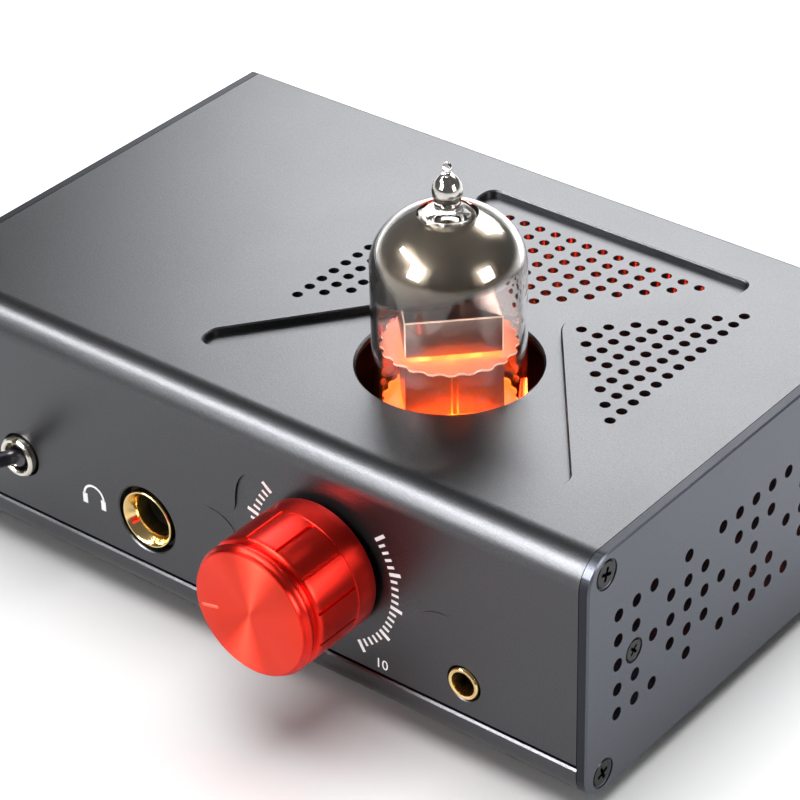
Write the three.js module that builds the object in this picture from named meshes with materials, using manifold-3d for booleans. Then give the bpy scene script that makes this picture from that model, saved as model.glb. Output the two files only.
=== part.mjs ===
// Desktop vacuum-tube microphone preamp with a headphone output.
// Millimetres: +X to the right, +Y to the back, +Z up. The origin is on the resting surface,
// under the middle of the whole object's box.
import * as THREE from 'three';
import { mergeVertices } from 'three/addons/utils/BufferGeometryUtils.js';
import Module from 'manifold-3d';

const wasm = await Module();
wasm.setup();

// ---- General ----
const GAP = 0.3; // clearance between pieces that touch on the real object
const WELD = 1e-4; // distance under which two corners are the same corner

// ---- Case: two extruded shells closed by two end plates ----
const CASE_WIDTH = 123.6; // over both end plates
const CASE_DEPTH = 79.5;
const CASE_HEIGHT = 39.4;
const WALL = 2.2;
const END_PLATE = 1.5;
const FRONT_TOP_RADIUS = 4.6;
const FRONT_BOTTOM_RADIUS = 4.2;
const REAR_RADIUS = 1;
const SEAM_RISE = 5.75; // seam between the shells, above the case's underside
const SEAM_GAP = 0.5;
const ARC_STEPS = 5; // straight pieces per rounded corner

// ---- Feet ----
const FOOT_RADIUS = 5;
const FOOT_HEIGHT = 3;
const FOOT_INSET = 11; // foot centre from the case's sides, front and back
const FOOT_SIDES = 16;

// ---- End-plate screws ----
const SCREW_FROM_FACE = 4; // corner screw from the case's front or rear face
const SCREW_FROM_LID = 3.2; // corner screw from the case's top or underside
const SCREW_HEAD_RADIUS = 2;
const SCREW_SHANK_RADIUS = 1.1;
const SCREW_LENGTH = 8;
const SCREW_SIDES = 8;
const MID_SCREW_FROM_FACE = 10.7;
const MID_SCREW_DROP = 19.6; // below the case's top
const MID_SCREW_HEAD_RADIUS = 1.6;
const BOSS_MARGIN = 2.4; // metal around a screw's centre

// ---- Ventilation ----
const VENT_RADIUS = 0.8;
const VENT_SIDES = 6;
const BACK_VENT_ROWS = 7;
const BACK_VENT_PITCH = 2.86;
const BACK_VENT_FROM_FRONT = 66.8; // longest row
const SIDE_VENT_COLUMNS = 7;
const SIDE_VENT_PITCH = 2.77;
const SIDE_VENT_REACH = 27.6; // longest column, from the pocket's centre line
const SIDE_VENT_FROM_FRONT = 46;
const PLATE_VENT_RADIUS = 1;
const PLATE_VENT_PITCH = 4.1;
const PLATE_VENT_FROM_FRONT = 6.8; // first column
const PLATE_VENT_DROP = 11.5; // top row below the case's top
// One period of columns: which of the five rows has a hole, from the top row down.
const PLATE_VENT_PERIOD = ['11111', '11011', '10101', '01110', '11111', '01110', '10101', '11011'];

// ---- Hourglass pocket in the top ----
const POCKET_DEPTH = 1.1;
const POCKET_FRONT = 11.6; // front edge, from the case's front
const POCKET_BACK = 70.9;
const POCKET_WAIST = 46.6; // where the two side wedges point at each other
const POCKET_FRONT_HALF = 31.2;
const POCKET_BACK_HALF = 23.6;
const POCKET_WAIST_HALF = 6.8;
const POCKET_SIDE = 3.6; // straight stretch beside each outer corner
const POCKET_CORNER_RADIUS = 2;
const POCKET_WAIST_RADIUS = 4.5;

// ---- Tube ----
const TUBE_X = 16.8;
const TUBE_FROM_FRONT = 29.6;
const TUBE_HOLE_CLEARANCE = 2.3; // around the glass
const TUBE_HOLE_SIDES = 32;
const GLASS_RADIUS = 11;
const GLASS_WALL = 0.9;
const GLASS_SIDES = 24;
const TUBE_SEAT = 16.8; // tube's seat below the case's top
const STEM_THICKNESS = 2;
const SHOULDER_RISE = 32.8; // top of the glass's straight wall, above the seat
const DOME_RISE = 7.6;
const NIPPLE_RADIUS = 4.15;
const TIP_RADIUS = 2.15;
const TIP_RISE = 10.6; // centre of the sealed tip, above the shoulder
const NECK_RADIUS = 0.45;
const BEAD_RADIUS = 0.72;
const BEAD_RISE = 14.1; // bead on the tip, above the shoulder
const TIP_ROOT = 0.8; // shares of the tip's radius down its drop-shaped profile
const TIP_WAIST = 0.9;
const TIP_BROW = 0.75;
const TIP_BULGE = 0.7;
const BEAD_CAP = 0.6;
const PIN_CIRCLE_RADIUS = 5.95;
const PIN_PLACES = 10; // nine pins and one empty place
const PIN_RADIUS = 0.5;
const PIN_LENGTH = 7;
const ELECTRODE_TURN = 45; // degrees that the electrodes are turned from the case
const MICA_THICKNESS = 0.4;
const LOWER_MICA_RISE = 9.8;
const UPPER_MICA_RISE = 19.7;
const CAGE_INSET = 1.2; // electrode corners inside the micas' edge
const CAGE_ANGLE = 38; // degrees from the electrodes' width to their corner
const SHEET = 0.5;
const SHIELD_HEIGHT = 8.4;
const CATHODE_RADIUS = 0.9;
const GETTER_RADIUS = 2.8;
const GETTER_OFFSET = 1.6;
const STEM_ROD_RADIUS = 0.45;

// ---- Volume control ----
const KNOB_X = 17.4;
const KNOB_DROP = 17.9; // knob's axis below the case's top
const KNOB_RADIUS = 10.1;
const KNOB_LENGTH = 14.8;
const KNOB_STANDOFF = 0.8;
const KNOB_SIDES = 32;
const KNOB_CAP_RADIUS = 9.5;
const KNOB_CAP_STEP = 0.5;
const KNOB_BEAD = 1.6;
const KNOB_GROOVE = 0.6;
const KNOB_GROOVE_DEPTH = 0.5;
const KNOB_SKIRT_RADIUS = 8;
const KNOB_SKIRT_DEPTH = 4.4;
const KNOB_BORE_DEPTH = 11;
const SET_SCREW_RADIUS = 1.4;
const SET_SCREW_RISE = 6.6; // from the knob's rear face
const SET_SCREW_SHARE = 0.7; // its length, as a share of the metal around the shaft
const SHAFT_RADIUS = 3;
const SHAFT_SIDES = 16;
const BUSHING_WALL = 0.7;
const BUSHING_REACH = 3.2; // in front of the panel
const POT_SIZE = 17;
const POT_DEPTH = 11;
const NUT_WALL = 2.3;
const NUT_THICKNESS = 2;
const NUT_SIDES = 12;
const DISH_DEPTH = 0.6;
const DISH_MARGIN = 6.2; // dish's edge beyond the knob, beside it
const DISH_TOP_MARGIN = 2.2; // and above it
const DISH_FLOOR = 14.3; // dish's straight lower edge, below the knob's axis
const DISH_TIP = 5.7; // pointed ends of the dish beyond its edge
const DISH_FLARE = 0.97; // widest part of the bell, as a share of the bowl's radius
const DISH_FOOT_RISE = 0.16; // where the bell's side begins, as a share of the bowl's radius
const DISH_HIP_RISE = 0.6;
const DISH_SHOULDER = [0.85, 0.75]; // shoulder's place, as shares of the bell's top radius
const DISH_CROWN = 0.5;
const DISH_BOWL_START = 0.3; // radians below level where the bowl leaves the tips

// ---- Toggle switch ----
const TOGGLE_FROM_PHONE = 24.9;
const TOGGLE_DROP = 24.2;
const TOGGLE_BUSHING_RADIUS = 3.2;
const TOGGLE_BUSHING_REACH = 1.2;
const TOGGLE_BORE_RADIUS = 2.3;
const TOGGLE_BODY = 8;
const TOGGLE_BODY_DEPTH = 9;
const LEVER_RADIUS = 1.3;
const LEVER_BALL_RADIUS = 1.9;
const LEVER_REACH = 10.5; // from its pivot to its end
const LEVER_CROWN = 0.5; // rounding of its end, as shares of its radius
const LEVER_BROW = 0.7;
const LEVER_BROW_DROP = 0.1;
const LEVER_TILT = 18; // degrees that the lever rests above level

// ---- Headphone jack, 6.35 mm ----
const PHONE_FROM_KNOB = 33.3;
const PHONE_DROP = 25.5;
const PHONE_HOLE_MARGIN = 0.6; // around the ferrule
const PHONE_RIM = 0.9; // ferrule's rim beyond its sleeve
const PHONE_LIP = 0.25; // flat part of the rim
const PHONE_FLARE_DEPTH = 1.8;
const PHONE_SLEEVE_WALL = 0.6;
const PHONE_SLEEVE_DEPTH = 4;
const PHONE_BORE_RADIUS = 3.3;
const PHONE_BORE_DEPTH = 20;
const PHONE_BODY_WIDTH = 15;
const PHONE_BODY_DEPTH = 22;
const PHONE_ROOF_INSET = 1; // its roof is lower than its sides are wide
const JACK_SIDES = 24;
const JACK_END_WALL = 1; // plastic left behind a jack's bore

// ---- Microphone jack, 3.5 mm ----
const MIC_FROM_KNOB = 24.1;
const MIC_DROP = 28.1;
const MIC_RING_WALL = 0.7;
const MIC_BORE_RADIUS = 1.8;
const MIC_BODY_WIDTH = 6.4;
const MIC_BODY_DEPTH = 13;
const MIC_SIDES = 16;

// ---- Rear connectors ----
const RCA_RADIUS = 4.15;
const RCA_WALL = 0.65;
const RCA_REACH = 9;
const RCA_FLANGE_RADIUS = 5.5;
const RCA_FLANGE = 1;
const RCA_RISE = 19; // above the case's underside
const RCA_X = 24;
const RCA_SPACING = 14;
const RCA_CONTACT_RADIUS = 1.6;
const RCA_INSERT_INSET = 2; // insert's face below the barrel's end
const RCA_BLOCK_DEPTH = 10;
const RCA_SIDES = 16;
const DC_X = -40;
const DC_WIDTH = 9;
const DC_DEPTH = 14;
const DC_END_WALL = 2; // plastic left behind the plug's hole
const DC_RISE = 14.5;
const DC_BORE_RADIUS = 2.9;
const DC_PIN_RADIUS = 1;

// ---- Circuit board and its parts ----
const BOARD = 1.6;
const BOARD_END_INSET = 1;
const RAIL_SHEET = 1.4;
const RAIL_EAR = 7;
const RAIL_FOOT = 4;
const SOCKET_INSET = 0.5; // socket's side inside the glass's
const SOCKET_CLIP_DEPTH = 8;
const LED_RADIUS = 1.6;
const LED_INSET = 3;
const SOCKET_SIDES = 20;
const CAPACITOR_RADIUS = 5;
const CAPACITOR_HEIGHT = 16;
const CAPACITOR_CRIMP = 0.5; // depth of the crimp around its foot and of its rounded top edge
const CAPACITOR_CRIMP_RISE = 1.8;
const CAPACITOR_STEPS = [-0.25, 0.75]; // the two cans beside the power jack, in spacings
const CAPACITOR_SPACING = 12;
const FILM_CAPACITOR = [13, 6, 11];
const CHIP = [9.6, 6.4, 3.4];
const REGULATOR = [10, 4.5, 15];
const HEAT_SINK = [16, 9, 18];
const FIN_COUNT = 4;
const FIN_THICKNESS = 1.1;
const SINK_WEB = FIN_THICKNESS * 1.5;

// ---- Places worked out from the sizes above ----
const KNOB_REACH = KNOB_STANDOFF + KNOB_LENGTH;
const CASE_FRONT = (KNOB_REACH - RCA_REACH - CASE_DEPTH) / 2;
const CASE_REAR = CASE_FRONT + CASE_DEPTH;
const CASE_BOTTOM = FOOT_HEIGHT;
const CASE_TOP = CASE_BOTTOM + CASE_HEIGHT;
const SHELL_LENGTH = CASE_WIDTH - 2 * (END_PLATE + GAP);
const SEAM = CASE_BOTTOM + SEAM_RISE;
const BOSS_TOP = CASE_BOTTOM + SCREW_FROM_LID + BOSS_MARGIN;
const BOARD_BOTTOM = BOSS_TOP + GAP;
const BOARD_TOP = BOARD_BOTTOM + BOARD;
const ON_BOARD = BOARD_TOP + GAP;
const PANEL_INSIDE = CASE_FRONT + WALL + GAP;
const REAR_INSIDE = CASE_REAR - WALL - GAP;
const TUBE_Y = CASE_FRONT + TUBE_FROM_FRONT;
const TUBE_HOLE_RADIUS = GLASS_RADIUS + TUBE_HOLE_CLEARANCE;
const SOCKET_RADIUS = GLASS_RADIUS - SOCKET_INSET;
const SEAT_Z = CASE_TOP - TUBE_SEAT;
const POCKET_FLOOR = CASE_TOP - POCKET_DEPTH;
const INNER_RADIUS = GLASS_RADIUS - GLASS_WALL;
const MICA_RADIUS = INNER_RADIUS - GAP;
const CAGE_CORNER = MICA_RADIUS - CAGE_INSET;
const CAGE_WIDTH = 2 * CAGE_CORNER * Math.cos(THREE.MathUtils.degToRad(CAGE_ANGLE));
const CAGE_DEPTH = 2 * CAGE_CORNER * Math.sin(THREE.MathUtils.degToRad(CAGE_ANGLE));
const BUSHING_RADIUS = SHAFT_RADIUS + GAP + BUSHING_WALL;
const NUT_RADIUS = BUSHING_RADIUS + GAP + NUT_WALL;
const DISH_RADIUS = KNOB_RADIUS + DISH_MARGIN;
const DISH_TOP_RADIUS = KNOB_RADIUS + DISH_TOP_MARGIN;
const PHONE_X = KNOB_X - PHONE_FROM_KNOB;
const TOGGLE_X = PHONE_X - TOGGLE_FROM_PHONE;
const MIC_X = KNOB_X + MIC_FROM_KNOB;
const PHONE_SLEEVE_RADIUS = PHONE_BORE_RADIUS + PHONE_SLEEVE_WALL;
const PHONE_RING_RADIUS = PHONE_SLEEVE_RADIUS + PHONE_RIM;
const PHONE_FLARE_RADIUS = PHONE_RING_RADIUS - PHONE_LIP;
const PHONE_HOLE_RADIUS = PHONE_RING_RADIUS + PHONE_HOLE_MARGIN;
const PHONE_NOSE_INSET = PHONE_FLARE_DEPTH + GAP; // the ferrule's rim is as deep as its flare
const MIC_RING_RADIUS = MIC_BORE_RADIUS + MIC_RING_WALL;
const SIDES = [-1, 1];

// ---- Materials ----
const finish = (color, roughness, metalness) =>
  new THREE.MeshStandardMaterial({ color, roughness, metalness });
const gunmetal = finish(0x55565a, 0.45, 0.85);
const plateMetal = finish(0x4d5159, 0.5, 0.8);
const blackSteel = finish(0x1c1c1e, 0.45, 0.8);
const rubber = finish(0x151515, 0.9, 0);
const redAnodised = finish(0xc3161b, 0.3, 0.9);
const steel = finish(0x9a9a9c, 0.35, 0.95);
const darkSteel = finish(0x4a4a50, 0.35, 0.95);
const nickel = finish(0xc9c3b0, 0.25, 0.95);
const gold = finish(0xd9b04a, 0.2, 1);
const blackPlastic = finish(0x121212, 0.55, 0);
const glass = new THREE.MeshStandardMaterial({
  color: 0xe8e4dc,
  roughness: 0.05,
  transparent: true,
  opacity: 0.35,
});
const electrodeMetal = finish(0x77726c, 0.5, 0.8);
const mica = finish(0xcfc6b6, 0.5, 0.05);
const ceramic = finish(0xe9e4d8, 0.5, 0);
const orangeGlow = new THREE.MeshStandardMaterial({ color: 0xff8a1e, emissive: 0xff6a00, roughness: 0.4 });
const boardGreen = finish(0x12402a, 0.5, 0);
const capacitorSleeve = finish(0x20242c, 0.4, 0.1);
const filmRed = finish(0x8c1f1b, 0.4, 0);
const whitePlastic = finish(0xe6e6e2, 0.45, 0);
const redPlastic = finish(0xb01818, 0.45, 0);
const blackAluminium = finish(0x202022, 0.5, 0.7);

// ---- Solids ----
function weld(geometry) {
  const bare = geometry.index ? geometry.toNonIndexed() : geometry.clone();
  const extra = Object.keys(bare.attributes).filter((name) => name !== 'position');
  extra.forEach((name) => bare.deleteAttribute(name));
  return mergeVertices(bare, WELD);
}

function trianglesOf(welded) {
  const index = welded.index.array;
  const triangles = [];
  for (let i = 0; i < index.length; i += 3) {
    const [a, b, c] = [index[i], index[i + 1], index[i + 2]];
    if (a !== b && b !== c && c !== a) triangles.push([a, b, c]);
  }
  return triangles;
}

function signedVolume(positions, triangles) {
  const corner = (i) => new THREE.Vector3().fromBufferAttribute(positions, i);
  return triangles.reduce((sum, [a, b, c]) => sum + corner(a).dot(corner(b).cross(corner(c))) / 6, 0);
}

// A three.js geometry as a solid with its faces pointing out.
function solid(geometry) {
  const welded = weld(geometry);
  const positions = welded.attributes.position;
  const triangles = trianglesOf(welded);
  const outward = signedVolume(positions, triangles) > 0;
  const ordered = outward ? triangles : triangles.map(([a, b, c]) => [a, c, b]);
  const mesh = new wasm.Mesh({
    numProp: 3,
    vertProperties: new Float32Array(positions.array),
    triVerts: new Uint32Array(ordered.flat()),
  });
  return new wasm.Manifold(mesh);
}

function geometryOf(body) {
  const mesh = body.getMesh();
  const geometry = new THREE.BufferGeometry();
  geometry.setAttribute('position', new THREE.BufferAttribute(mesh.vertProperties, 3));
  geometry.setIndex(new THREE.BufferAttribute(mesh.triVerts, 1));
  geometry.computeVertexNormals();
  return geometry;
}

// A block between two opposite corners.
function block([x0, y0, z0], [x1, y1, z1]) {
  const box = new THREE.BoxGeometry(x1 - x0, y1 - y0, z1 - z0);
  return solid(box.translate((x0 + x1) / 2, (y0 + y1) / 2, (z0 + z1) / 2));
}

// A box of [width, depth, height] standing at height z on the middle of its footprint.
function standing([width, depth, height], x, y, z) {
  return block([x - width / 2, y - depth / 2, z], [x + width / 2, y + depth / 2, z + height]);
}

// Ways to lay a turned piece, whose own axis is its profile's second number.
const LAY = {
  intoPanel: (geometry) => geometry,
  up: (geometry) => geometry.rotateX(Math.PI / 2),
  toRight: (geometry) => geometry.rotateZ(-Math.PI / 2),
  toLeft: (geometry) => geometry.rotateZ(Math.PI / 2),
  outOfRear: (geometry) => geometry,
};

// A body of revolution from [radius, distance] pairs, with its start at a place.
function turned(profile, sides, lay, [x, y, z]) {
  const points = profile.map(([radius, distance]) => new THREE.Vector2(radius, distance));
  return solid(LAY[lay](new THREE.LatheGeometry(points, sides)).translate(x, y, z));
}

function rod(radius, start, end, sides, lay, place) {
  return turned([[0, start], [radius, start], [radius, end], [0, end]], sides, lay, place);
}

function ring(inner, outer, start, end, sides, lay, place) {
  const profile = [
    [inner, start],
    [outer, start],
    [outer, end],
    [inner, end],
    [inner, start],
  ];
  return turned(profile, sides, lay, place);
}

function arcPoints(steps, point) {
  return Array.from({ length: steps + 1 }, (_, i) => point(i / steps));
}

// ---- Outlines in the Y-Z plane, extruded along X ----
const ALONG_X = new THREE.Matrix4().makeBasis(
  new THREE.Vector3(0, 1, 0),
  new THREE.Vector3(0, 0, 1),
  new THREE.Vector3(1, 0, 0),
);

function alongX(shape, from, to) {
  const bar = new THREE.ExtrudeGeometry(shape, {
    depth: to - from,
    bevelEnabled: false,
    curveSegments: ARC_STEPS,
  });
  return solid(bar.applyMatrix4(ALONG_X).translate(from, 0, 0));
}

function caseOutline() {
  const [front, rear] = [CASE_FRONT, CASE_REAR];
  const shape = new THREE.Shape();
  const corner = (y, z, radius, start) => shape.absarc(y, z, radius, start, start + Math.PI / 2, false);
  corner(front + FRONT_BOTTOM_RADIUS, CASE_BOTTOM + FRONT_BOTTOM_RADIUS, FRONT_BOTTOM_RADIUS, Math.PI);
  corner(rear - REAR_RADIUS, CASE_BOTTOM + REAR_RADIUS, REAR_RADIUS, -Math.PI / 2);
  corner(rear - REAR_RADIUS, CASE_TOP - REAR_RADIUS, REAR_RADIUS, 0);
  corner(front + FRONT_TOP_RADIUS, CASE_TOP - FRONT_TOP_RADIUS, FRONT_TOP_RADIUS, Math.PI / 2);
  shape.closePath();
  return shape;
}

// Corner screws as [y, z], in front-to-back and bottom-to-top order.
const cornerScrews = [CASE_FRONT + SCREW_FROM_FACE, CASE_REAR - SCREW_FROM_FACE].flatMap((y) => [
  [y, CASE_BOTTOM + SCREW_FROM_LID],
  [y, CASE_TOP - SCREW_FROM_LID],
]);
const midScrews = [CASE_FRONT + MID_SCREW_FROM_FACE, CASE_REAR - MID_SCREW_FROM_FACE].map((y) => [
  y,
  CASE_TOP - MID_SCREW_DROP,
]);

// The closed tube that both shells are cut from: walls, corner screw bosses and their holes.
function caseTube() {
  const half = SHELL_LENGTH / 2;
  const inside = block(
    [-CASE_WIDTH, CASE_FRONT + WALL, CASE_BOTTOM + WALL],
    [CASE_WIDTH, CASE_REAR - WALL, CASE_TOP - WALL],
  );
  const bosses = cornerScrews.map(([y, z]) => {
    const front = y < (CASE_FRONT + CASE_REAR) / 2;
    const low = z < (CASE_BOTTOM + CASE_TOP) / 2;
    const edgeY = front ? CASE_FRONT + WALL / 2 : CASE_REAR - WALL / 2;
    const edgeZ = low ? CASE_BOTTOM + WALL / 2 : CASE_TOP - WALL / 2;
    const innerY = front ? y + BOSS_MARGIN : y - BOSS_MARGIN;
    const innerZ = low ? z + BOSS_MARGIN : z - BOSS_MARGIN;
    return block(
      [-half, Math.min(edgeY, innerY), Math.min(edgeZ, innerZ)],
      [half, Math.max(edgeY, innerY), Math.max(edgeZ, innerZ)],
    );
  });
  const hole = ([y, z]) =>
    rod(SCREW_SHANK_RADIUS + GAP, -CASE_WIDTH, CASE_WIDTH, SCREW_SIDES, 'toRight', [0, y, z]);
  const walls = alongX(caseOutline(), -half, half).subtract(inside);
  const withBosses = bosses.reduce((body, boss) => body.add(boss), walls);
  return cornerScrews.map(hole).reduce((body, cut) => body.subtract(cut), withBosses);
}

// ---- Upper shell ----
// An outline from corners [x, y, radius], each corner rounded by its own radius.
function roundedOutline(corners) {
  const shape = new THREE.Shape();
  corners.forEach(([x, y, radius], i) => {
    const here = new THREE.Vector2(x, y);
    const before = new THREE.Vector2(...corners.at(i - 1).slice(0, 2)).sub(here).normalize();
    const after = new THREE.Vector2(...corners[(i + 1) % corners.length].slice(0, 2)).sub(here).normalize();
    const reach = radius / Math.tan(Math.acos(before.dot(after)) / 2);
    const start = here.clone().addScaledVector(before, reach);
    const end = here.clone().addScaledVector(after, reach);
    if (i === 0) shape.moveTo(start.x, start.y);
    else shape.lineTo(start.x, start.y);
    shape.quadraticCurveTo(x, y, end.x, end.y);
  });
  shape.closePath();
  return shape;
}

function pocketOutline() {
  const right = [
    [POCKET_FRONT_HALF, POCKET_FRONT, POCKET_CORNER_RADIUS],
    [POCKET_FRONT_HALF, POCKET_FRONT + POCKET_SIDE, POCKET_CORNER_RADIUS],
    [POCKET_WAIST_HALF, POCKET_WAIST, POCKET_WAIST_RADIUS],
    [POCKET_BACK_HALF, POCKET_BACK - POCKET_SIDE, POCKET_CORNER_RADIUS],
    [POCKET_BACK_HALF, POCKET_BACK, POCKET_CORNER_RADIUS],
  ];
  const left = right.map(([x, y, radius]) => [-x, y, radius]).reverse();
  return roundedOutline([...right, ...left]);
}

function topPocket() {
  const bar = new THREE.ExtrudeGeometry(pocketOutline(), {
    depth: 2 * POCKET_DEPTH,
    bevelEnabled: false,
    curveSegments: ARC_STEPS,
  });
  return solid(bar.translate(TUBE_X, CASE_FRONT, POCKET_FLOOR));
}

// Centres of a triangle of holes: `count` rows, each two holes shorter than the one before it.
function trianglePlaces(count, pitch) {
  const rows = Array.from({ length: count }, (_, row) => row);
  return rows.flatMap((row) => {
    const holes = 2 * (count - row) - 1;
    return Array.from({ length: holes }, (_, i) => [(i - (holes - 1) / 2) * pitch, -row * pitch]);
  });
}

function topVentPlaces() {
  const back = trianglePlaces(BACK_VENT_ROWS, BACK_VENT_PITCH).map(([across, along]) => [
    TUBE_X + across,
    CASE_FRONT + BACK_VENT_FROM_FRONT + along,
  ]);
  const beside = SIDES.flatMap((side) =>
    trianglePlaces(SIDE_VENT_COLUMNS, SIDE_VENT_PITCH).map(([across, along]) => [
      TUBE_X + side * (SIDE_VENT_REACH + along),
      CASE_FRONT + SIDE_VENT_FROM_FRONT + across,
    ]),
  );
  return [...back, ...beside];
}

// The shallow dish in the panel around the knob: a bell above the axis, a bowl below it.
function dishOutline() {
  const shape = new THREE.Shape();
  const bowlEnd = Math.asin(DISH_FLOOR / DISH_RADIUS);
  const flare = DISH_RADIUS * DISH_FLARE;
  const tip = DISH_RADIUS + DISH_TIP;
  const top = DISH_TOP_RADIUS;
  const foot = DISH_RADIUS * DISH_FOOT_RISE;
  const hip = DISH_RADIUS * DISH_HIP_RISE;
  const [shoulderX, shoulderZ] = DISH_SHOULDER.map((share) => top * share);
  const crown = top * DISH_CROWN;
  shape.moveTo(-tip, 0);
  shape.quadraticCurveTo(-flare, 0, -flare, foot);
  shape.quadraticCurveTo(-flare, hip, -shoulderX, shoulderZ);
  shape.quadraticCurveTo(-crown, top, 0, top);
  shape.quadraticCurveTo(crown, top, shoulderX, shoulderZ);
  shape.quadraticCurveTo(flare, hip, flare, foot);
  shape.quadraticCurveTo(flare, 0, tip, 0);
  const joinX = DISH_RADIUS * Math.cos(DISH_BOWL_START);
  const joinZ = -DISH_RADIUS * Math.sin(DISH_BOWL_START);
  shape.quadraticCurveTo(flare, 0, joinX, joinZ);
  shape.absarc(0, 0, DISH_RADIUS, -DISH_BOWL_START, -bowlEnd, true);
  shape.absarc(0, 0, DISH_RADIUS, -Math.PI + bowlEnd, -Math.PI + DISH_BOWL_START, true);
  shape.quadraticCurveTo(-flare, 0, -tip, 0);
  return shape;
}

function knobDish() {
  const bar = new THREE.ExtrudeGeometry(dishOutline(), {
    depth: 2 * DISH_DEPTH,
    bevelEnabled: false,
    curveSegments: ARC_STEPS,
  });
  const laid = bar.rotateX(Math.PI / 2);
  return solid(laid.translate(KNOB_X, CASE_FRONT + DISH_DEPTH, CASE_TOP - KNOB_DROP));
}

function panelHole(radius, sides, x, z) {
  return rod(radius, -WALL, 2 * WALL, sides, 'intoPanel', [x, CASE_FRONT, z]);
}

function rearHole(radius, x, z) {
  return rod(radius, -2 * WALL, WALL, RCA_SIDES, 'outOfRear', [x, CASE_REAR, z]);
}

const rcaPlaces = SIDES.map((side) => RCA_X + (side * RCA_SPACING) / 2);

function upperShell() {
  const above = block(
    [-CASE_WIDTH, -CASE_WIDTH, SEAM + SEAM_GAP / 2],
    [CASE_WIDTH, CASE_WIDTH, 2 * CASE_TOP],
  );
  const place = [TUBE_X, TUBE_Y, CASE_TOP];
  const cuts = [
    topPocket(),
    rod(TUBE_HOLE_RADIUS, -2 * WALL, WALL, TUBE_HOLE_SIDES, 'up', place),
    knobDish(),
    panelHole(BUSHING_RADIUS + GAP, SHAFT_SIDES, KNOB_X, CASE_TOP - KNOB_DROP),
    panelHole(PHONE_HOLE_RADIUS, JACK_SIDES, PHONE_X, CASE_TOP - PHONE_DROP),
    panelHole(MIC_RING_RADIUS + GAP, MIC_SIDES, MIC_X, CASE_TOP - MIC_DROP),
    panelHole(TOGGLE_BUSHING_RADIUS + GAP, MIC_SIDES, TOGGLE_X, CASE_TOP - TOGGLE_DROP),
    ...rcaPlaces.map((x) => rearHole(RCA_RADIUS + GAP, x, CASE_BOTTOM + RCA_RISE)),
    rearHole(DC_BORE_RADIUS + 2 * GAP, DC_X, CASE_BOTTOM + DC_RISE),
    ...topVentPlaces().map(([x, y]) => rod(VENT_RADIUS, -2 * WALL, WALL, VENT_SIDES, 'up', [x, y, CASE_TOP])),
  ];
  return cuts.reduce((body, cut) => body.subtract(cut), caseTube().intersect(above));
}

function lowerShell() {
  const below = block([-CASE_WIDTH, -CASE_WIDTH, -CASE_TOP], [CASE_WIDTH, CASE_WIDTH, SEAM - SEAM_GAP / 2]);
  return caseTube().intersect(below);
}

// ---- End plates ----
function plateVentPlaces() {
  const columns = Math.floor((CASE_DEPTH - 2 * PLATE_VENT_FROM_FRONT) / PLATE_VENT_PITCH + 0.5);
  const first = (CASE_FRONT + CASE_REAR - columns * PLATE_VENT_PITCH) / 2;
  return Array.from({ length: columns + 1 }, (_, column) => column).flatMap((column) => {
    const period = PLATE_VENT_PERIOD[column % PLATE_VENT_PERIOD.length];
    const y = first + column * PLATE_VENT_PITCH;
    return [...period].flatMap((hole, row) =>
      hole === '1' ? [[y, CASE_TOP - PLATE_VENT_DROP - row * PLATE_VENT_PITCH]] : [],
    );
  });
}

function circlePath([y, z], radius, sides) {
  const path = new THREE.Path();
  const corners = arcPoints(sides, (t) => {
    const angle = t * 2 * Math.PI;
    return [y + radius * Math.cos(angle), z + radius * Math.sin(angle)];
  });
  path.moveTo(...corners[0]);
  corners.slice(1, -1).forEach((corner) => path.lineTo(...corner));
  path.closePath();
  return path;
}

// Head and shank of a countersunk screw, as a profile grown by a clearance.
function screwProfile(headRadius, clearance) {
  const head = headRadius + clearance;
  const shank = SCREW_SHANK_RADIUS + clearance;
  return [
    [0, 0],
    [head, 0],
    [head, GAP],
    [shank, GAP + headRadius - SCREW_SHANK_RADIUS],
    [shank, SCREW_LENGTH],
    [0, SCREW_LENGTH],
  ];
}

const plateScrews = [
  ...cornerScrews.map((place) => [place, SCREW_HEAD_RADIUS]),
  ...midScrews.map((place) => [place, MID_SCREW_HEAD_RADIUS]),
];

function endPlate(side) {
  const outer = (side * CASE_WIDTH) / 2;
  const inner = outer - side * END_PLATE;
  const shape = caseOutline();
  shape.holes = plateVentPlaces().map((place) => circlePath(place, PLATE_VENT_RADIUS, VENT_SIDES));
  const lay = side > 0 ? 'toLeft' : 'toRight';
  const seats = plateScrews.map(([[y, z], head]) => {
    const profile = screwProfile(head, GAP);
    profile[0][1] = -GAP;
    profile[1][1] = -GAP;
    return turned(profile, SCREW_SIDES, lay, [outer, y, z]);
  });
  const plate = alongX(shape, Math.min(inner, outer), Math.max(inner, outer));
  return seats.reduce((body, seat) => body.subtract(seat), plate);
}

function plateScrew(side, [[y, z], head]) {
  const lay = side > 0 ? 'toLeft' : 'toRight';
  return turned(screwProfile(head, 0), SCREW_SIDES, lay, [(side * CASE_WIDTH) / 2, y, z]);
}

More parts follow.
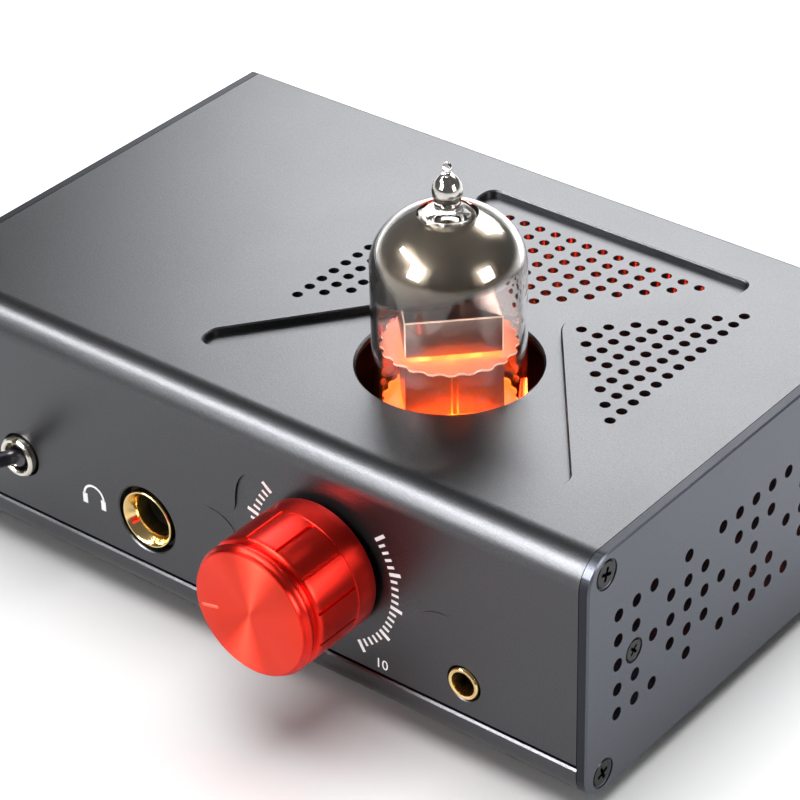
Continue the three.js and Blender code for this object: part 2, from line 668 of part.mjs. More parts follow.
// Steel rail that ties the board to an end plate: a foot along the board, an ear at each middle screw.
function boardRail(side) {
  const wall = (side * SHELL_LENGTH) / 2;
  const span = (a, b) => [Math.min(a, b), Math.max(a, b)];
  const [footFrom, footTo] = span(wall, wall - side * RAIL_FOOT);
  const [earFrom, earTo] = span(wall, wall - side * RAIL_SHEET);
  const [front, back] = [midScrews[0][0] - RAIL_EAR / 2, midScrews[1][0] + RAIL_EAR / 2];
  const foot = block([footFrom, front, ON_BOARD], [footTo, back, ON_BOARD + RAIL_SHEET]);
  return midScrews.reduce((rail, [y, z]) => {
    const ear = block([earFrom, y - RAIL_EAR / 2, ON_BOARD], [earTo, y + RAIL_EAR / 2, z + BOSS_MARGIN]);
    const hole = rod(SCREW_SHANK_RADIUS + GAP, -RAIL_FOOT, RAIL_FOOT, SCREW_SIDES, 'toRight', [wall, y, z]);
    return rail.add(ear).subtract(hole);
  }, foot);
}

// ---- Tube, in its own frame: the seat is z = 0 ----
const ORIGIN = [0, 0, 0];

function domePoints(radius, rise, fromRadius, toRadius) {
  const [start, end] = [Math.acos(fromRadius / radius), Math.acos(toRadius / radius)];
  return arcPoints(ARC_STEPS, (t) => {
    const angle = start + (end - start) * t;
    return [radius * Math.cos(angle), SHOULDER_RISE + rise * Math.sin(angle)];
  });
}

function glassEnvelope() {
  const mouth = STEM_THICKNESS + GAP;
  const inner = domePoints(INNER_RADIUS, DOME_RISE - GLASS_WALL, INNER_RADIUS, 0).reverse();
  const outer = domePoints(GLASS_RADIUS, DOME_RISE, GLASS_RADIUS, NIPPLE_RADIUS);
  const tip = SHOULDER_RISE + TIP_RISE;
  const bead = SHOULDER_RISE + BEAD_RISE;
  inner[0][0] = 0;
  const nipple = [
    [TIP_RADIUS * TIP_ROOT, SHOULDER_RISE + DOME_RISE + GLASS_WALL / 2],
    [TIP_RADIUS * TIP_WAIST, tip - TIP_RADIUS * TIP_BULGE],
    [TIP_RADIUS, tip],
    [TIP_RADIUS * TIP_BROW, tip + TIP_RADIUS * TIP_BULGE],
    [NECK_RADIUS, bead - BEAD_RADIUS],
    [BEAD_RADIUS, bead],
    [BEAD_RADIUS * BEAD_CAP, bead + BEAD_RADIUS * TIP_ROOT],
    [0, bead + BEAD_RADIUS],
  ];
  const profile = [...inner, [INNER_RADIUS, mouth], [GLASS_RADIUS, mouth], ...outer, ...nipple];
  return turned(profile, GLASS_SIDES, 'up', ORIGIN);
}

function aroundCircle(radius, places) {
  return Array.from({ length: places }, (_, i) => {
    const angle = ((i + 0.5) / places) * 2 * Math.PI;
    return [radius * Math.cos(angle), radius * Math.sin(angle)];
  });
}

const pinPlaces = aroundCircle(PIN_CIRCLE_RADIUS, PIN_PLACES).slice(0, PIN_PLACES - 1);

// Pressed-glass stem with nine contact pins below and two support rods above.
function tubeStem() {
  const disc = rod(GLASS_RADIUS, 0, STEM_THICKNESS, GLASS_SIDES, 'up', ORIGIN);
  const pins = pinPlaces.map(([x, y]) =>
    rod(PIN_RADIUS, -PIN_LENGTH, STEM_THICKNESS / 2, VENT_SIDES, 'up', [x, y, 0]),
  );
  const rodTop = LOWER_MICA_RISE - GAP;
  const rods = SIDES.map((side) =>
    rod(STEM_ROD_RADIUS, STEM_THICKNESS / 2, rodTop, VENT_SIDES, 'up', [(side * CAGE_WIDTH) / 4, 0, 0]),
  );
  return [...pins, ...rods].reduce((body, part) => body.add(part), disc);
}

function micaDisc(rise) {
  return rod(MICA_RADIUS, rise, rise + MICA_THICKNESS, GLASS_SIDES, 'up', ORIGIN);
}

function sheetBox(width, depth, bottom, top, x) {
  const outer = standing([width, depth, top - bottom], x, 0, bottom);
  const inner = standing([width - 2 * SHEET, depth - 2 * SHEET, 2 * (top - bottom)], x, 0, bottom - SHEET);
  return outer.subtract(inner);
}

const CAGE_BOTTOM = LOWER_MICA_RISE + MICA_THICKNESS + GAP;
const CAGE_TOP = UPPER_MICA_RISE - GAP;
const ANODE_WIDTH = (CAGE_WIDTH - SHEET) / 2 - GAP;
const ANODE_X = (SHEET + ANODE_WIDTH) / 2 + GAP;
const SHIELD_BOTTOM = UPPER_MICA_RISE + MICA_THICKNESS + GAP;

function dividerPlate() {
  return block([-SHEET / 2, -CAGE_DEPTH / 2, CAGE_BOTTOM], [SHEET / 2, CAGE_DEPTH / 2, CAGE_TOP]);
}

function getterPan() {
  const pan = SHIELD_BOTTOM + SHIELD_HEIGHT + GAP;
  const post = STEM_ROD_RADIUS;
  const profile = [
    [0, SHIELD_BOTTOM],
    [post, SHIELD_BOTTOM],
    [post, pan],
    [GETTER_RADIUS, pan],
    [GETTER_RADIUS, pan + SHEET],
    [0, pan + SHEET],
  ];
  return turned(profile, SOCKET_SIDES / 2, 'up', [GETTER_OFFSET, 0, 0]);
}

// ---- Tube socket and its lamp ----
function tubeSocket() {
  const seat = [TUBE_X, TUBE_Y, SEAT_Z];
  const body = rod(SOCKET_RADIUS, ON_BOARD - SEAT_Z, -GAP, SOCKET_SIDES, 'up', seat);
  const well = rod(LED_RADIUS + 2 * GAP, -LED_INSET - CAPACITOR_HEIGHT, GAP, SOCKET_SIDES / 2, 'up', seat);
  const clips = pinPlaces.map(([x, y]) =>
    rod(PIN_RADIUS + GAP, -SOCKET_CLIP_DEPTH, GAP, VENT_SIDES, 'up', [TUBE_X + x, TUBE_Y + y, SEAT_Z]),
  );
  return [well, ...clips].reduce((solidPart, cut) => solidPart.subtract(cut), body);
}

function tubeLamp() {
  const top = SEAT_Z - LED_INSET;
  const profile = [
    [0, ON_BOARD],
    [LED_RADIUS, ON_BOARD],
    [LED_RADIUS, top - LED_RADIUS],
    [LED_RADIUS * Math.SQRT1_2, top - LED_RADIUS * (1 - Math.SQRT1_2)],
    [0, top],
  ];
  return turned(profile, SOCKET_SIDES / 2, 'up', [TUBE_X, TUBE_Y, 0]);
}

// ---- Volume knob, in its own frame: y = 0 is the panel's outer face, -y is towards the user ----
function volumeKnob() {
  const back = -KNOB_STANDOFF;
  const front = back - KNOB_LENGTH;
  const bead = front + KNOB_CAP_STEP + KNOB_BEAD;
  const groove = KNOB_RADIUS - KNOB_GROOVE_DEPTH;
  const skirt = back - KNOB_SKIRT_DEPTH;
  const bore = back - KNOB_BORE_DEPTH;
  const profile = [
    [0, bore],
    [SHAFT_RADIUS + GAP, bore],
    [SHAFT_RADIUS + GAP, skirt],
    [KNOB_SKIRT_RADIUS, skirt],
    [KNOB_SKIRT_RADIUS, back],
    [KNOB_RADIUS, back],
    [KNOB_RADIUS, bead + KNOB_GROOVE],
    [groove, bead + KNOB_GROOVE],
    [groove, bead],
    [KNOB_RADIUS, bead],
    [KNOB_RADIUS, front + KNOB_CAP_STEP],
    [KNOB_CAP_RADIUS, front],
    [0, front],
  ];
  const under = [0, back - SET_SCREW_RISE, -2 * KNOB_RADIUS];
  const hole = rod(SET_SCREW_RADIUS + GAP, 0, 2 * KNOB_RADIUS, SCREW_SIDES, 'up', under);
  return turned(profile, KNOB_SIDES, 'intoPanel', ORIGIN).subtract(hole);
}

function setScrew() {
  const top = -SHAFT_RADIUS - GAP;
  const place = [0, -KNOB_STANDOFF - SET_SCREW_RISE, 0];
  const length = (KNOB_RADIUS - SHAFT_RADIUS) * SET_SCREW_SHARE;
  return rod(SET_SCREW_RADIUS, top - length, top, SCREW_SIDES, 'up', place);
}

function potShaft() {
  const end = -KNOB_STANDOFF - KNOB_BORE_DEPTH + GAP;
  return rod(SHAFT_RADIUS, end, WALL + POT_DEPTH / 2, SHAFT_SIDES, 'intoPanel', ORIGIN);
}

const POT_HOUSING = WALL + GAP;

// Housing, threaded bushing and the bore that the shaft turns in.
function potBody() {
  const floor = ON_BOARD - (CASE_TOP - KNOB_DROP);
  const half = POT_SIZE / 2;
  const housing = block([-half, POT_HOUSING, floor], [half, POT_HOUSING + POT_DEPTH, half]);
  const bushingEnd = POT_HOUSING + POT_DEPTH / 4;
  const boreEnd = WALL + POT_DEPTH / 2 + GAP;
  const bushing = rod(BUSHING_RADIUS, -BUSHING_REACH, bushingEnd, SHAFT_SIDES, 'intoPanel', ORIGIN);
  const bore = rod(SHAFT_RADIUS + GAP, -2 * BUSHING_REACH, boreEnd, SHAFT_SIDES, 'intoPanel', ORIGIN);
  return housing.add(bushing).subtract(bore);
}

function potNut() {
  const back = DISH_DEPTH - GAP;
  const front = back - NUT_THICKNESS;
  return ring(BUSHING_RADIUS + GAP, NUT_RADIUS, front, back, NUT_SIDES, 'intoPanel', ORIGIN);
}

// ---- Toggle switch, in the same kind of frame ----
function toggleBody() {
  const floor = ON_BOARD - (CASE_TOP - TOGGLE_DROP);
  const back = WALL + GAP + TOGGLE_BODY_DEPTH;
  const housing = block([-TOGGLE_BODY / 2, WALL + GAP, floor], [TOGGLE_BODY / 2, back, TOGGLE_BODY / 2]);
  const [front, bushingEnd, boreEnd] = [-TOGGLE_BUSHING_REACH, WALL + 2 * GAP, WALL + 2 * LEVER_BALL_RADIUS];
  const bushing = rod(TOGGLE_BUSHING_RADIUS, front, bushingEnd, MIC_SIDES, 'intoPanel', ORIGIN);
  const bore = rod(TOGGLE_BORE_RADIUS, 2 * front, boreEnd, MIC_SIDES, 'intoPanel', ORIGIN);
  return housing.add(bushing).subtract(bore);
}

// Lever about its own pivot, pointing along -y before it is tilted.
function toggleLever() {
  const ball = arcPoints(ARC_STEPS, (t) => {
    const angle = Math.PI / 2 - t * (Math.PI / 2 + Math.acos(LEVER_RADIUS / LEVER_BALL_RADIUS));
    return [LEVER_BALL_RADIUS * Math.cos(angle), LEVER_BALL_RADIUS * Math.sin(angle)];
  });
  ball[0][0] = 0;
  const end = [
    [LEVER_RADIUS, -LEVER_REACH + LEVER_RADIUS * LEVER_CROWN],
    [LEVER_RADIUS * LEVER_BROW, -LEVER_REACH + LEVER_RADIUS * LEVER_BROW_DROP],
    [0, -LEVER_REACH],
  ];
  return turned([...ball, ...end], JACK_SIDES / 2, 'intoPanel', ORIGIN);
}

// ---- Headphone jack ----
function phoneJackBody() {
  const floor = ON_BOARD - (CASE_TOP - PHONE_DROP);
  const roof = PHONE_BODY_WIDTH / 2 - PHONE_ROOF_INSET;
  const back = WALL + GAP + PHONE_BODY_DEPTH;
  const housing = block([-PHONE_BODY_WIDTH / 2, WALL + GAP, floor], [PHONE_BODY_WIDTH / 2, back, roof]);
  const [noseEnd, seatEnd] = [WALL + 2 * GAP, PHONE_SLEEVE_DEPTH + GAP];
  const nose = rod(PHONE_HOLE_RADIUS - GAP, PHONE_NOSE_INSET, noseEnd, JACK_SIDES, 'intoPanel', ORIGIN);
  const seat = rod(PHONE_SLEEVE_RADIUS + GAP, 0, seatEnd, JACK_SIDES, 'intoPanel', ORIGIN);
  const bore = rod(PHONE_BORE_RADIUS, 0, PHONE_BORE_DEPTH, JACK_SIDES, 'intoPanel', ORIGIN);
  return housing.add(nose).subtract(seat).subtract(bore);
}

// Gilt ferrule with a flared mouth, screwed into the jack's nose.
function phoneJackRing() {
  const profile = [
    [PHONE_BORE_RADIUS, PHONE_FLARE_DEPTH],
    [PHONE_FLARE_RADIUS, 0],
    [PHONE_RING_RADIUS, 0],
    [PHONE_RING_RADIUS, PHONE_FLARE_DEPTH],
    [PHONE_SLEEVE_RADIUS, PHONE_FLARE_DEPTH],
    [PHONE_SLEEVE_RADIUS, PHONE_SLEEVE_DEPTH],
    [PHONE_BORE_RADIUS, PHONE_SLEEVE_DEPTH],
    [PHONE_BORE_RADIUS, PHONE_FLARE_DEPTH],
  ];
  return turned(profile, JACK_SIDES, 'intoPanel', ORIGIN);
}

// ---- Microphone jack ----
function micJackBody() {
  const floor = ON_BOARD - (CASE_TOP - MIC_DROP);
  const back = WALL + GAP + MIC_BODY_DEPTH;
  const half = MIC_BODY_WIDTH / 2;
  const housing = block([-half, WALL + GAP, floor], [half, back, half]);
  return housing.subtract(rod(MIC_BORE_RADIUS, 0, back - JACK_END_WALL, MIC_SIDES, 'intoPanel', ORIGIN));
}

function micJackRing() {
  return ring(MIC_BORE_RADIUS, MIC_RING_RADIUS, -GAP, WALL, MIC_SIDES, 'intoPanel', ORIGIN);
}

// ---- Rear connectors, in a frame whose y = 0 is the rear panel's outer face ----
function rcaBarrel() {
  const inner = RCA_RADIUS - RCA_WALL;
  const profile = [
    [inner, RCA_REACH],
    [RCA_RADIUS, RCA_REACH],
    [RCA_RADIUS, RCA_FLANGE + GAP],
    [RCA_FLANGE_RADIUS, RCA_FLANGE + GAP],
    [RCA_FLANGE_RADIUS, GAP],
    [RCA_RADIUS, GAP],
    [RCA_RADIUS, -WALL],
    [inner, -WALL],
    [inner, RCA_REACH],
  ];
  return turned(profile, RCA_SIDES, 'outOfRear', ORIGIN);
}

function rcaInsert() {
  const outer = RCA_RADIUS - RCA_WALL - GAP;
  return ring(RCA_CONTACT_RADIUS, outer, -WALL, RCA_REACH - RCA_INSERT_INSET, RCA_SIDES, 'outOfRear', ORIGIN);
}

function rcaBlock() {
  const back = CASE_REAR - WALL - GAP;
  const half = (RCA_SPACING + 2 * RCA_FLANGE_RADIUS) / 2;
  const top = CASE_BOTTOM + RCA_RISE + RCA_FLANGE_RADIUS;
  return block([RCA_X - half, back - RCA_BLOCK_DEPTH, ON_BOARD], [RCA_X + half, back, top]);
}

function dcJack() {
  const axis = CASE_BOTTOM + DC_RISE;
  const front = REAR_INSIDE - DC_DEPTH;
  const half = DC_WIDTH / 2;
  const housing = block([DC_X - half, front, ON_BOARD], [DC_X + half, REAR_INSIDE, axis + half]);
  const place = [DC_X, REAR_INSIDE, axis];
  const end = -DC_DEPTH + DC_END_WALL;
  const socket = ring(DC_PIN_RADIUS, DC_BORE_RADIUS, end, GAP, RCA_SIDES, 'outOfRear', place);
  return housing.subtract(socket);
}

// ---- Board and the parts soldered to it ----
function circuitBoard() {
  const half = SHELL_LENGTH / 2 - BOARD_END_INSET;
  return block([-half, PANEL_INSIDE, BOARD_BOTTOM], [half, REAR_INSIDE, BOARD_TOP]);
}

function electrolytic(x, y) {
  const top = ON_BOARD + CAPACITOR_HEIGHT;
  const neck = CAPACITOR_RADIUS - CAPACITOR_CRIMP;
  const profile = [
    [0, ON_BOARD],
    [CAPACITOR_RADIUS, ON_BOARD],
    [CAPACITOR_RADIUS, ON_BOARD + CAPACITOR_CRIMP_RISE - CAPACITOR_CRIMP],
    [neck, ON_BOARD + CAPACITOR_CRIMP_RISE],
    [CAPACITOR_RADIUS, ON_BOARD + CAPACITOR_CRIMP_RISE + CAPACITOR_CRIMP],
    [CAPACITOR_RADIUS, top - CAPACITOR_CRIMP],
    [neck, top],
    [0, top],
  ];
  return turned(profile, FOOT_SIDES, 'up', [x, y, 0]);
}

function heatSink(x, y) {
  const [width, depth, height] = HEAT_SINK;
  const web = standing([width, SINK_WEB, height], x, y, ON_BOARD);
  const step = (width - FIN_THICKNESS) / (FIN_COUNT - 1);
  const fins = Array.from({ length: FIN_COUNT }, (_, i) => {
    const finX = x - width / 2 + FIN_THICKNESS / 2 + i * step;
    return standing([FIN_THICKNESS, depth, height], finX, y + depth / 2, ON_BOARD);
  });
  return fins.reduce((body, fin) => body.add(fin), web);
}

// ---- Assembly ----
const group = new THREE.Group();

function place(parent, name, body, material) {
  const mesh = new THREE.Mesh(geometryOf(body), material);
  mesh.name = name;
  parent.add(mesh);
  return mesh;
}

function frameAt(x, y, z) {
  const frame = new THREE.Group();
  frame.position.set(x, y, z);
  group.add(frame);
  return frame;
}

function buildCase() {
  place(group, 'upper_shell', upperShell(), gunmetal);
  place(group, 'lower_shell', lowerShell(), gunmetal);
  const cornerNames = ['front_bottom', 'front_top', 'rear_bottom', 'rear_top', 'front_middle', 'rear_middle'];
  SIDES.forEach((side) => {
    const label = side > 0 ? 'right' : 'left';
    place(group, `end_plate_${label}`, endPlate(side), plateMetal);
    plateScrews.forEach((screw, i) => {
      place(group, `screw_${label}_${cornerNames[i]}`, plateScrew(side, screw), blackSteel);
    });
    place(group, `board_rail_${label}`, boardRail(side), steel);
  });
}

function buildFeet() {
  const across = CASE_WIDTH / 2 - FOOT_INSET;
  const rows = { front: CASE_FRONT + FOOT_INSET, rear: CASE_REAR - FOOT_INSET };
  Object.entries(rows).forEach(([row, y]) => {
    SIDES.forEach((side) => {
      const foot = rod(FOOT_RADIUS, 0, FOOT_HEIGHT - GAP, FOOT_SIDES, 'up', [side * across, y, 0]);
      place(group, `foot_${row}_${side > 0 ? 'right' : 'left'}`, foot, rubber);
    });
  });
}

function buildTube() {
  const tube = frameAt(TUBE_X, TUBE_Y, SEAT_Z);
  tube.rotation.z = THREE.MathUtils.degToRad(ELECTRODE_TURN);
  place(tube, 'tube_glass', glassEnvelope(), glass);
  place(tube, 'tube_lower_mica', micaDisc(LOWER_MICA_RISE), mica);
  place(tube, 'tube_upper_mica', micaDisc(UPPER_MICA_RISE), mica);
  place(tube, 'tube_divider', dividerPlate(), electrodeMetal);
  SIDES.forEach((side) => {
    const label = side > 0 ? 'right' : 'left';
    const cathode = rod(CATHODE_RADIUS, CAGE_BOTTOM, CAGE_TOP, SCREW_SIDES, 'up', [side * ANODE_X, 0, 0]);
    const anode = sheetBox(ANODE_WIDTH, CAGE_DEPTH, CAGE_BOTTOM, CAGE_TOP, side * ANODE_X);
    place(tube, `tube_anode_${label}`, anode, electrodeMetal);
    place(tube, `tube_cathode_${label}`, cathode, orangeGlow);
  });
  const shield = sheetBox(CAGE_WIDTH, CAGE_DEPTH, SHIELD_BOTTOM, SHIELD_BOTTOM + SHIELD_HEIGHT, 0);
  place(tube, 'tube_upper_shield', shield, electrodeMetal);
  place(tube, 'tube_getter', getterPan(), electrodeMetal);
  const stem = frameAt(TUBE_X, TUBE_Y, SEAT_Z);
  place(stem, 'tube_stem', tubeStem(), glass);
  place(group, 'tube_socket', tubeSocket(), ceramic);
  place(group, 'tube_lamp', tubeLamp(), orangeGlow);
}

function buildFrontControls() {
  const volume = frameAt(KNOB_X, CASE_FRONT, CASE_TOP - KNOB_DROP);
  place(volume, 'volume_knob', volumeKnob(), redAnodised);
  place(volume, 'knob_set_screw', setScrew(), blackSteel);
  place(volume, 'pot_shaft', potShaft(), steel);
  place(volume, 'pot_body', potBody(), steel);
  place(volume, 'pot_nut', potNut(), nickel);
  const toggle = frameAt(TOGGLE_X, CASE_FRONT, CASE_TOP - TOGGLE_DROP);
  place(toggle, 'toggle_body', toggleBody(), nickel);
  const lever = place(toggle, 'toggle_lever', toggleLever(), darkSteel);
  lever.rotation.x = -THREE.MathUtils.degToRad(LEVER_TILT);
}

function buildJacks() {
  const phone = frameAt(PHONE_X, CASE_FRONT, CASE_TOP - PHONE_DROP);
  place(phone, 'phone_jack_body', phoneJackBody(), blackPlastic);
  place(phone, 'phone_jack_ring', phoneJackRing(), gold);
  const mic = frameAt(MIC_X, CASE_FRONT, CASE_TOP - MIC_DROP);
  place(mic, 'mic_jack_body', micJackBody(), blackPlastic);
  place(mic, 'mic_jack_ring', micJackRing(), gold);
  rcaPlaces.forEach((x, i) => {
    const output = frameAt(x, CASE_REAR, CASE_BOTTOM + RCA_RISE);
    const label = i === 0 ? 'left' : 'right';
    place(output, `rca_barrel_${label}`, rcaBarrel(), gold);
    place(output, `rca_insert_${label}`, rcaInsert(), i === 0 ? whitePlastic : redPlastic);
  });
  place(group, 'rca_block', rcaBlock(), blackPlastic);
  place(group, 'dc_jack', dcJack(), blackPlastic);
}

function buildBoard() {
  place(group, 'circuit_board', circuitBoard(), boardGreen);
  const canY = REAR_INSIDE - DC_DEPTH - CAPACITOR_SPACING;
  CAPACITOR_STEPS.forEach((step, i) => {
    const can = electrolytic(DC_X + step * CAPACITOR_SPACING, canY);
    place(group, `filter_capacitor_${i + 1}`, can, capacitorSleeve);
  });
  const film = standing(FILM_CAPACITOR, TUBE_X + SOCKET_RADIUS + FILM_CAPACITOR[0], TUBE_Y, ON_BOARD);
  place(group, 'coupling_capacitor', film, filmRed);
  place(group, 'headphone_amp_chip', standing(CHIP, PHONE_X, TUBE_Y + CHIP[1], ON_BOARD), blackPlastic);
  const sinkY = TUBE_Y + 2 * CHIP[1] + HEAT_SINK[1];
  place(group, 'heat_sink', heatSink(PHONE_X, sinkY), blackAluminium);
  const regulatorY = sinkY - (REGULATOR[1] + SINK_WEB) / 2 - GAP;
  place(group, 'heater_regulator', standing(REGULATOR, PHONE_X, regulatorY, ON_BOARD), blackPlastic);
}

buildCase();
buildFeet();
buildTube();
buildFrontControls();
buildJacks();
buildBoard();

export default group;
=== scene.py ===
import math

import bmesh
import bpy
from mathutils import Matrix, Vector


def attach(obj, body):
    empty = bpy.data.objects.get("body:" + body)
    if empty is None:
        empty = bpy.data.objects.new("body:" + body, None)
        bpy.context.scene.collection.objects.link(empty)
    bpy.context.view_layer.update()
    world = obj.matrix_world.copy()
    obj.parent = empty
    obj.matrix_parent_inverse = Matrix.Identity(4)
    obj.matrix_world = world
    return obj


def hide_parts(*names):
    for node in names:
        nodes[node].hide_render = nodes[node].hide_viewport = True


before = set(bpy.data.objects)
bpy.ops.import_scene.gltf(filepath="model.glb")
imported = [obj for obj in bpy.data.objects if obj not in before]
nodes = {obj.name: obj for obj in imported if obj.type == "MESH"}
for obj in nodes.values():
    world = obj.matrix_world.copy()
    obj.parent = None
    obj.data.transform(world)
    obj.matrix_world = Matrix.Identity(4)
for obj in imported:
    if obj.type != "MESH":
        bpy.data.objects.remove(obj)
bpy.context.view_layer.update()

# ---- Camera ----
# A long lens looks down at the front right corner of the preamp from almost half a
# metre away. Its axes are the ones that the edges of the case ask for.
LENS_PLACE = Vector((0.24523, -0.29984, 0.27964))
LENS_FORWARD = Vector((-0.52600, 0.64867, -0.55004))
LENS_RIGHT = Vector((0.78488, 0.61932, -0.02020))
LENS_LENGTH = 141.35
LENS_SENSOR = 36.0

lens = bpy.data.cameras.new("lens")
lens.lens = LENS_LENGTH
lens.sensor_width = LENS_SENSOR
lens.clip_start = 0.02
lens.clip_end = 20
camera = bpy.data.objects.new("camera", lens)
bpy.context.scene.collection.objects.link(camera)
behind = -LENS_FORWARD.normalized()
beside = (LENS_RIGHT - behind * LENS_RIGHT.dot(behind)).normalized()
axes = Matrix((beside, behind.cross(beside), behind)).transposed()
camera.matrix_world = Matrix.Translation(LENS_PLACE) @ axes.to_4x4()
bpy.context.scene.camera = camera

# ---- Studio ----
# A white sweep lies under the preamp. Soft boxes behind, at the front left, in front and at
# the right make the reflections; a large one overhead and a low one in front light the floor.
FLOOR_SIZE = 6.0
WORLD_LIGHT = 0.15
TABLE_TOP = Vector((0.02, 0.0, 0.035))

sweep_mesh = bpy.data.meshes.new("sweep")
half = FLOOR_SIZE / 2
sweep_corners = [(-half, -half, 0), (half, -half, 0), (half, half, 0), (-half, half, 0)]
sweep_mesh.from_pydata(sweep_corners, [], [(0, 1, 2, 3)])
sweep = bpy.data.objects.new("sweep", sweep_mesh)
bpy.context.scene.collection.objects.link(sweep)
paper = bpy.data.materials.new("white_paper")
paper.use_nodes = True
paper.node_tree.nodes["Principled BSDF"].inputs["Base Color"].default_value = (0.9, 0.9, 0.9, 1)
paper.node_tree.nodes["Principled BSDF"].inputs["Roughness"].default_value = 0.9
sweep_mesh.materials.append(paper)

world = bpy.data.worlds.new("studio")
world.use_nodes = True
world.node_tree.nodes["Background"].inputs["Color"].default_value = (1, 1, 1, 1)
world.node_tree.nodes["Background"].inputs["Strength"].default_value = WORLD_LIGHT
bpy.context.scene.world = world
bpy.context.scene.view_settings.view_transform = "Standard"


def soft_box(name, place, aim, width, height, watts, colour=(1, 1, 1)):
    data = bpy.data.lights.new(name, "AREA")
    data.shape = "RECTANGLE"
    data.size, data.size_y, data.energy, data.color = width, height, watts, colour
    box = bpy.data.objects.new(name, data)
    bpy.context.scene.collection.objects.link(box)
    box.location = place
    box.rotation_euler = (Vector(aim) - Vector(place)).to_track_quat("-Z", "Y").to_euler()
    return box


soft_box("back_box", (-0.10, 0.31, 0.26), (0.0, 0.02, 0.04), 0.38, 0.20, 1.95)
edge_box = soft_box("edge_box", (-0.20, -0.27, 0.34), TABLE_TOP, 0.36, 0.055, 2.6)
front_box = soft_box("front_box", (-0.09, -0.40, 0.25), TABLE_TOP, 0.17, 0.20, 2.4)
side_box = soft_box("side_box", (0.46, 0.05, 0.20), TABLE_TOP, 0.17, 0.20, 2.4)
for box in (edge_box, front_box, side_box):
    box.visible_diffuse = False
floor_light = soft_box("floor_light", (0.0, -0.1, 1.4), TABLE_TOP, 1.2, 1.2, 22)
front_fill = soft_box("front_fill", (0.0, -0.90, 0.13), TABLE_TOP, 0.3, 0.2, 2.8)
for box in (floor_light, front_fill):
    box.visible_glossy = False
    box.visible_transmission = False


# ---- Case shells ----
# The case is two aluminium extrusions, bead blasted and anodised gunmetal. The upper one
# carries the top, front and rear, with a milled pocket, a dish round the knob and drilled
# vents; the lower one is the tray, and the two meet in a fine seam.
MM = 0.001
SHELL_ENDS = 60.2
SHELL_WALL = 2.2
FRONT, REAR, UNDERSIDE, TOP = -36.45, 43.05, 3.0, 42.4
FRONT_TOP_ROUND, FRONT_FOOT_ROUND, REAR_ROUND = 4.6, 4.2, 1.0
SEAM, SEAM_HALF, SEAM_CHAMFER = 8.75, 0.25, 0.28
ARC_STEPS = 60
SHELL_SMOOTH = 2
GUNMETAL = (0.076, 0.077, 0.082)
TUBE_X, TUBE_Y = 16.8, -6.85
KNOB_X, KNOB_Z = 17.4, 24.5


def arc(cx, cy, radius, start, end, steps=ARC_STEPS):
    angles = [start + (end - start) * i / steps for i in range(steps + 1)]
    return [(cx + radius * math.cos(a), cy + radius * math.sin(a)) for a in angles]


def curve3(a, b, c, steps=10):
    """Points of a quadratic curve from a to c, pulled towards b, without its first point."""
    ts = [(i + 1) / steps for i in range(steps)]
    return [
        tuple((1 - t) ** 2 * p + 2 * t * (1 - t) * q + t * t * r for p, q, r in zip(a, b, c))
        for t in ts
    ]


def as_piece(name, form, material, smooth=32, mm=True):
    """A bmesh in millimetres becomes a named piece with its faces pointing out."""
    bmesh.ops.remove_doubles(form, verts=form.verts, dist=1e-4)
    bmesh.ops.recalc_face_normals(form, faces=form.faces)
    if mm:
        bmesh.ops.scale(form, vec=(MM, MM, MM), verts=form.verts)
    mesh = bpy.data.meshes.new(name)
    form.to_mesh(mesh)
    form.free()
    mesh.shade_smooth()
    mesh.set_sharp_from_angle(angle=math.radians(smooth))
    if material:
        mesh.materials.append(material)
    piece = bpy.data.objects.new(name, mesh)
    bpy.context.scene.collection.objects.link(piece)
    return piece


def loft(rings):
    """A solid through rings of equally many points, capped at both ends."""
    form = bmesh.new()
    rows = [[form.verts.new(p) for p in ring] for ring in rings]
    count = len(rows[0])
    for low, high in zip(rows, rows[1:]):
        for i in range(count):
            j = (i + 1) % count
            form.faces.new((low[i], low[j], high[j], high[i]))
    form.faces.new(list(reversed(rows[0])))
    form.faces.new(rows[-1])
    return form


def turned(profile, steps, place, axis="Z"):
    """A turned solid from (radius, distance along the axis) pairs."""
    form = bmesh.new()
    rows = []
    for radius, along in profile:
        row = []
        for i in range(steps if radius > 1e-6 else 1):
            a = 2 * math.pi * i / steps
            u, v = radius * math.cos(a), radius * math.sin(a)
            point = {"Z": (u, v, along), "Y": (u, along, v), "X": (along, u, v)}[axis]
            row.append(form.verts.new(Vector(point) + Vector(place)))
        rows.append(row)
    for low, high in zip(rows, rows[1:]):
        for i in range(steps):
            j = (i + 1) % steps
            around = [low[i % len(low)], low[j % len(low)], high[j % len(high)], high[i % len(high)]]
            unique = list(dict.fromkeys(around))
            if len(unique) > 2:
                form.faces.new(unique)
    return form


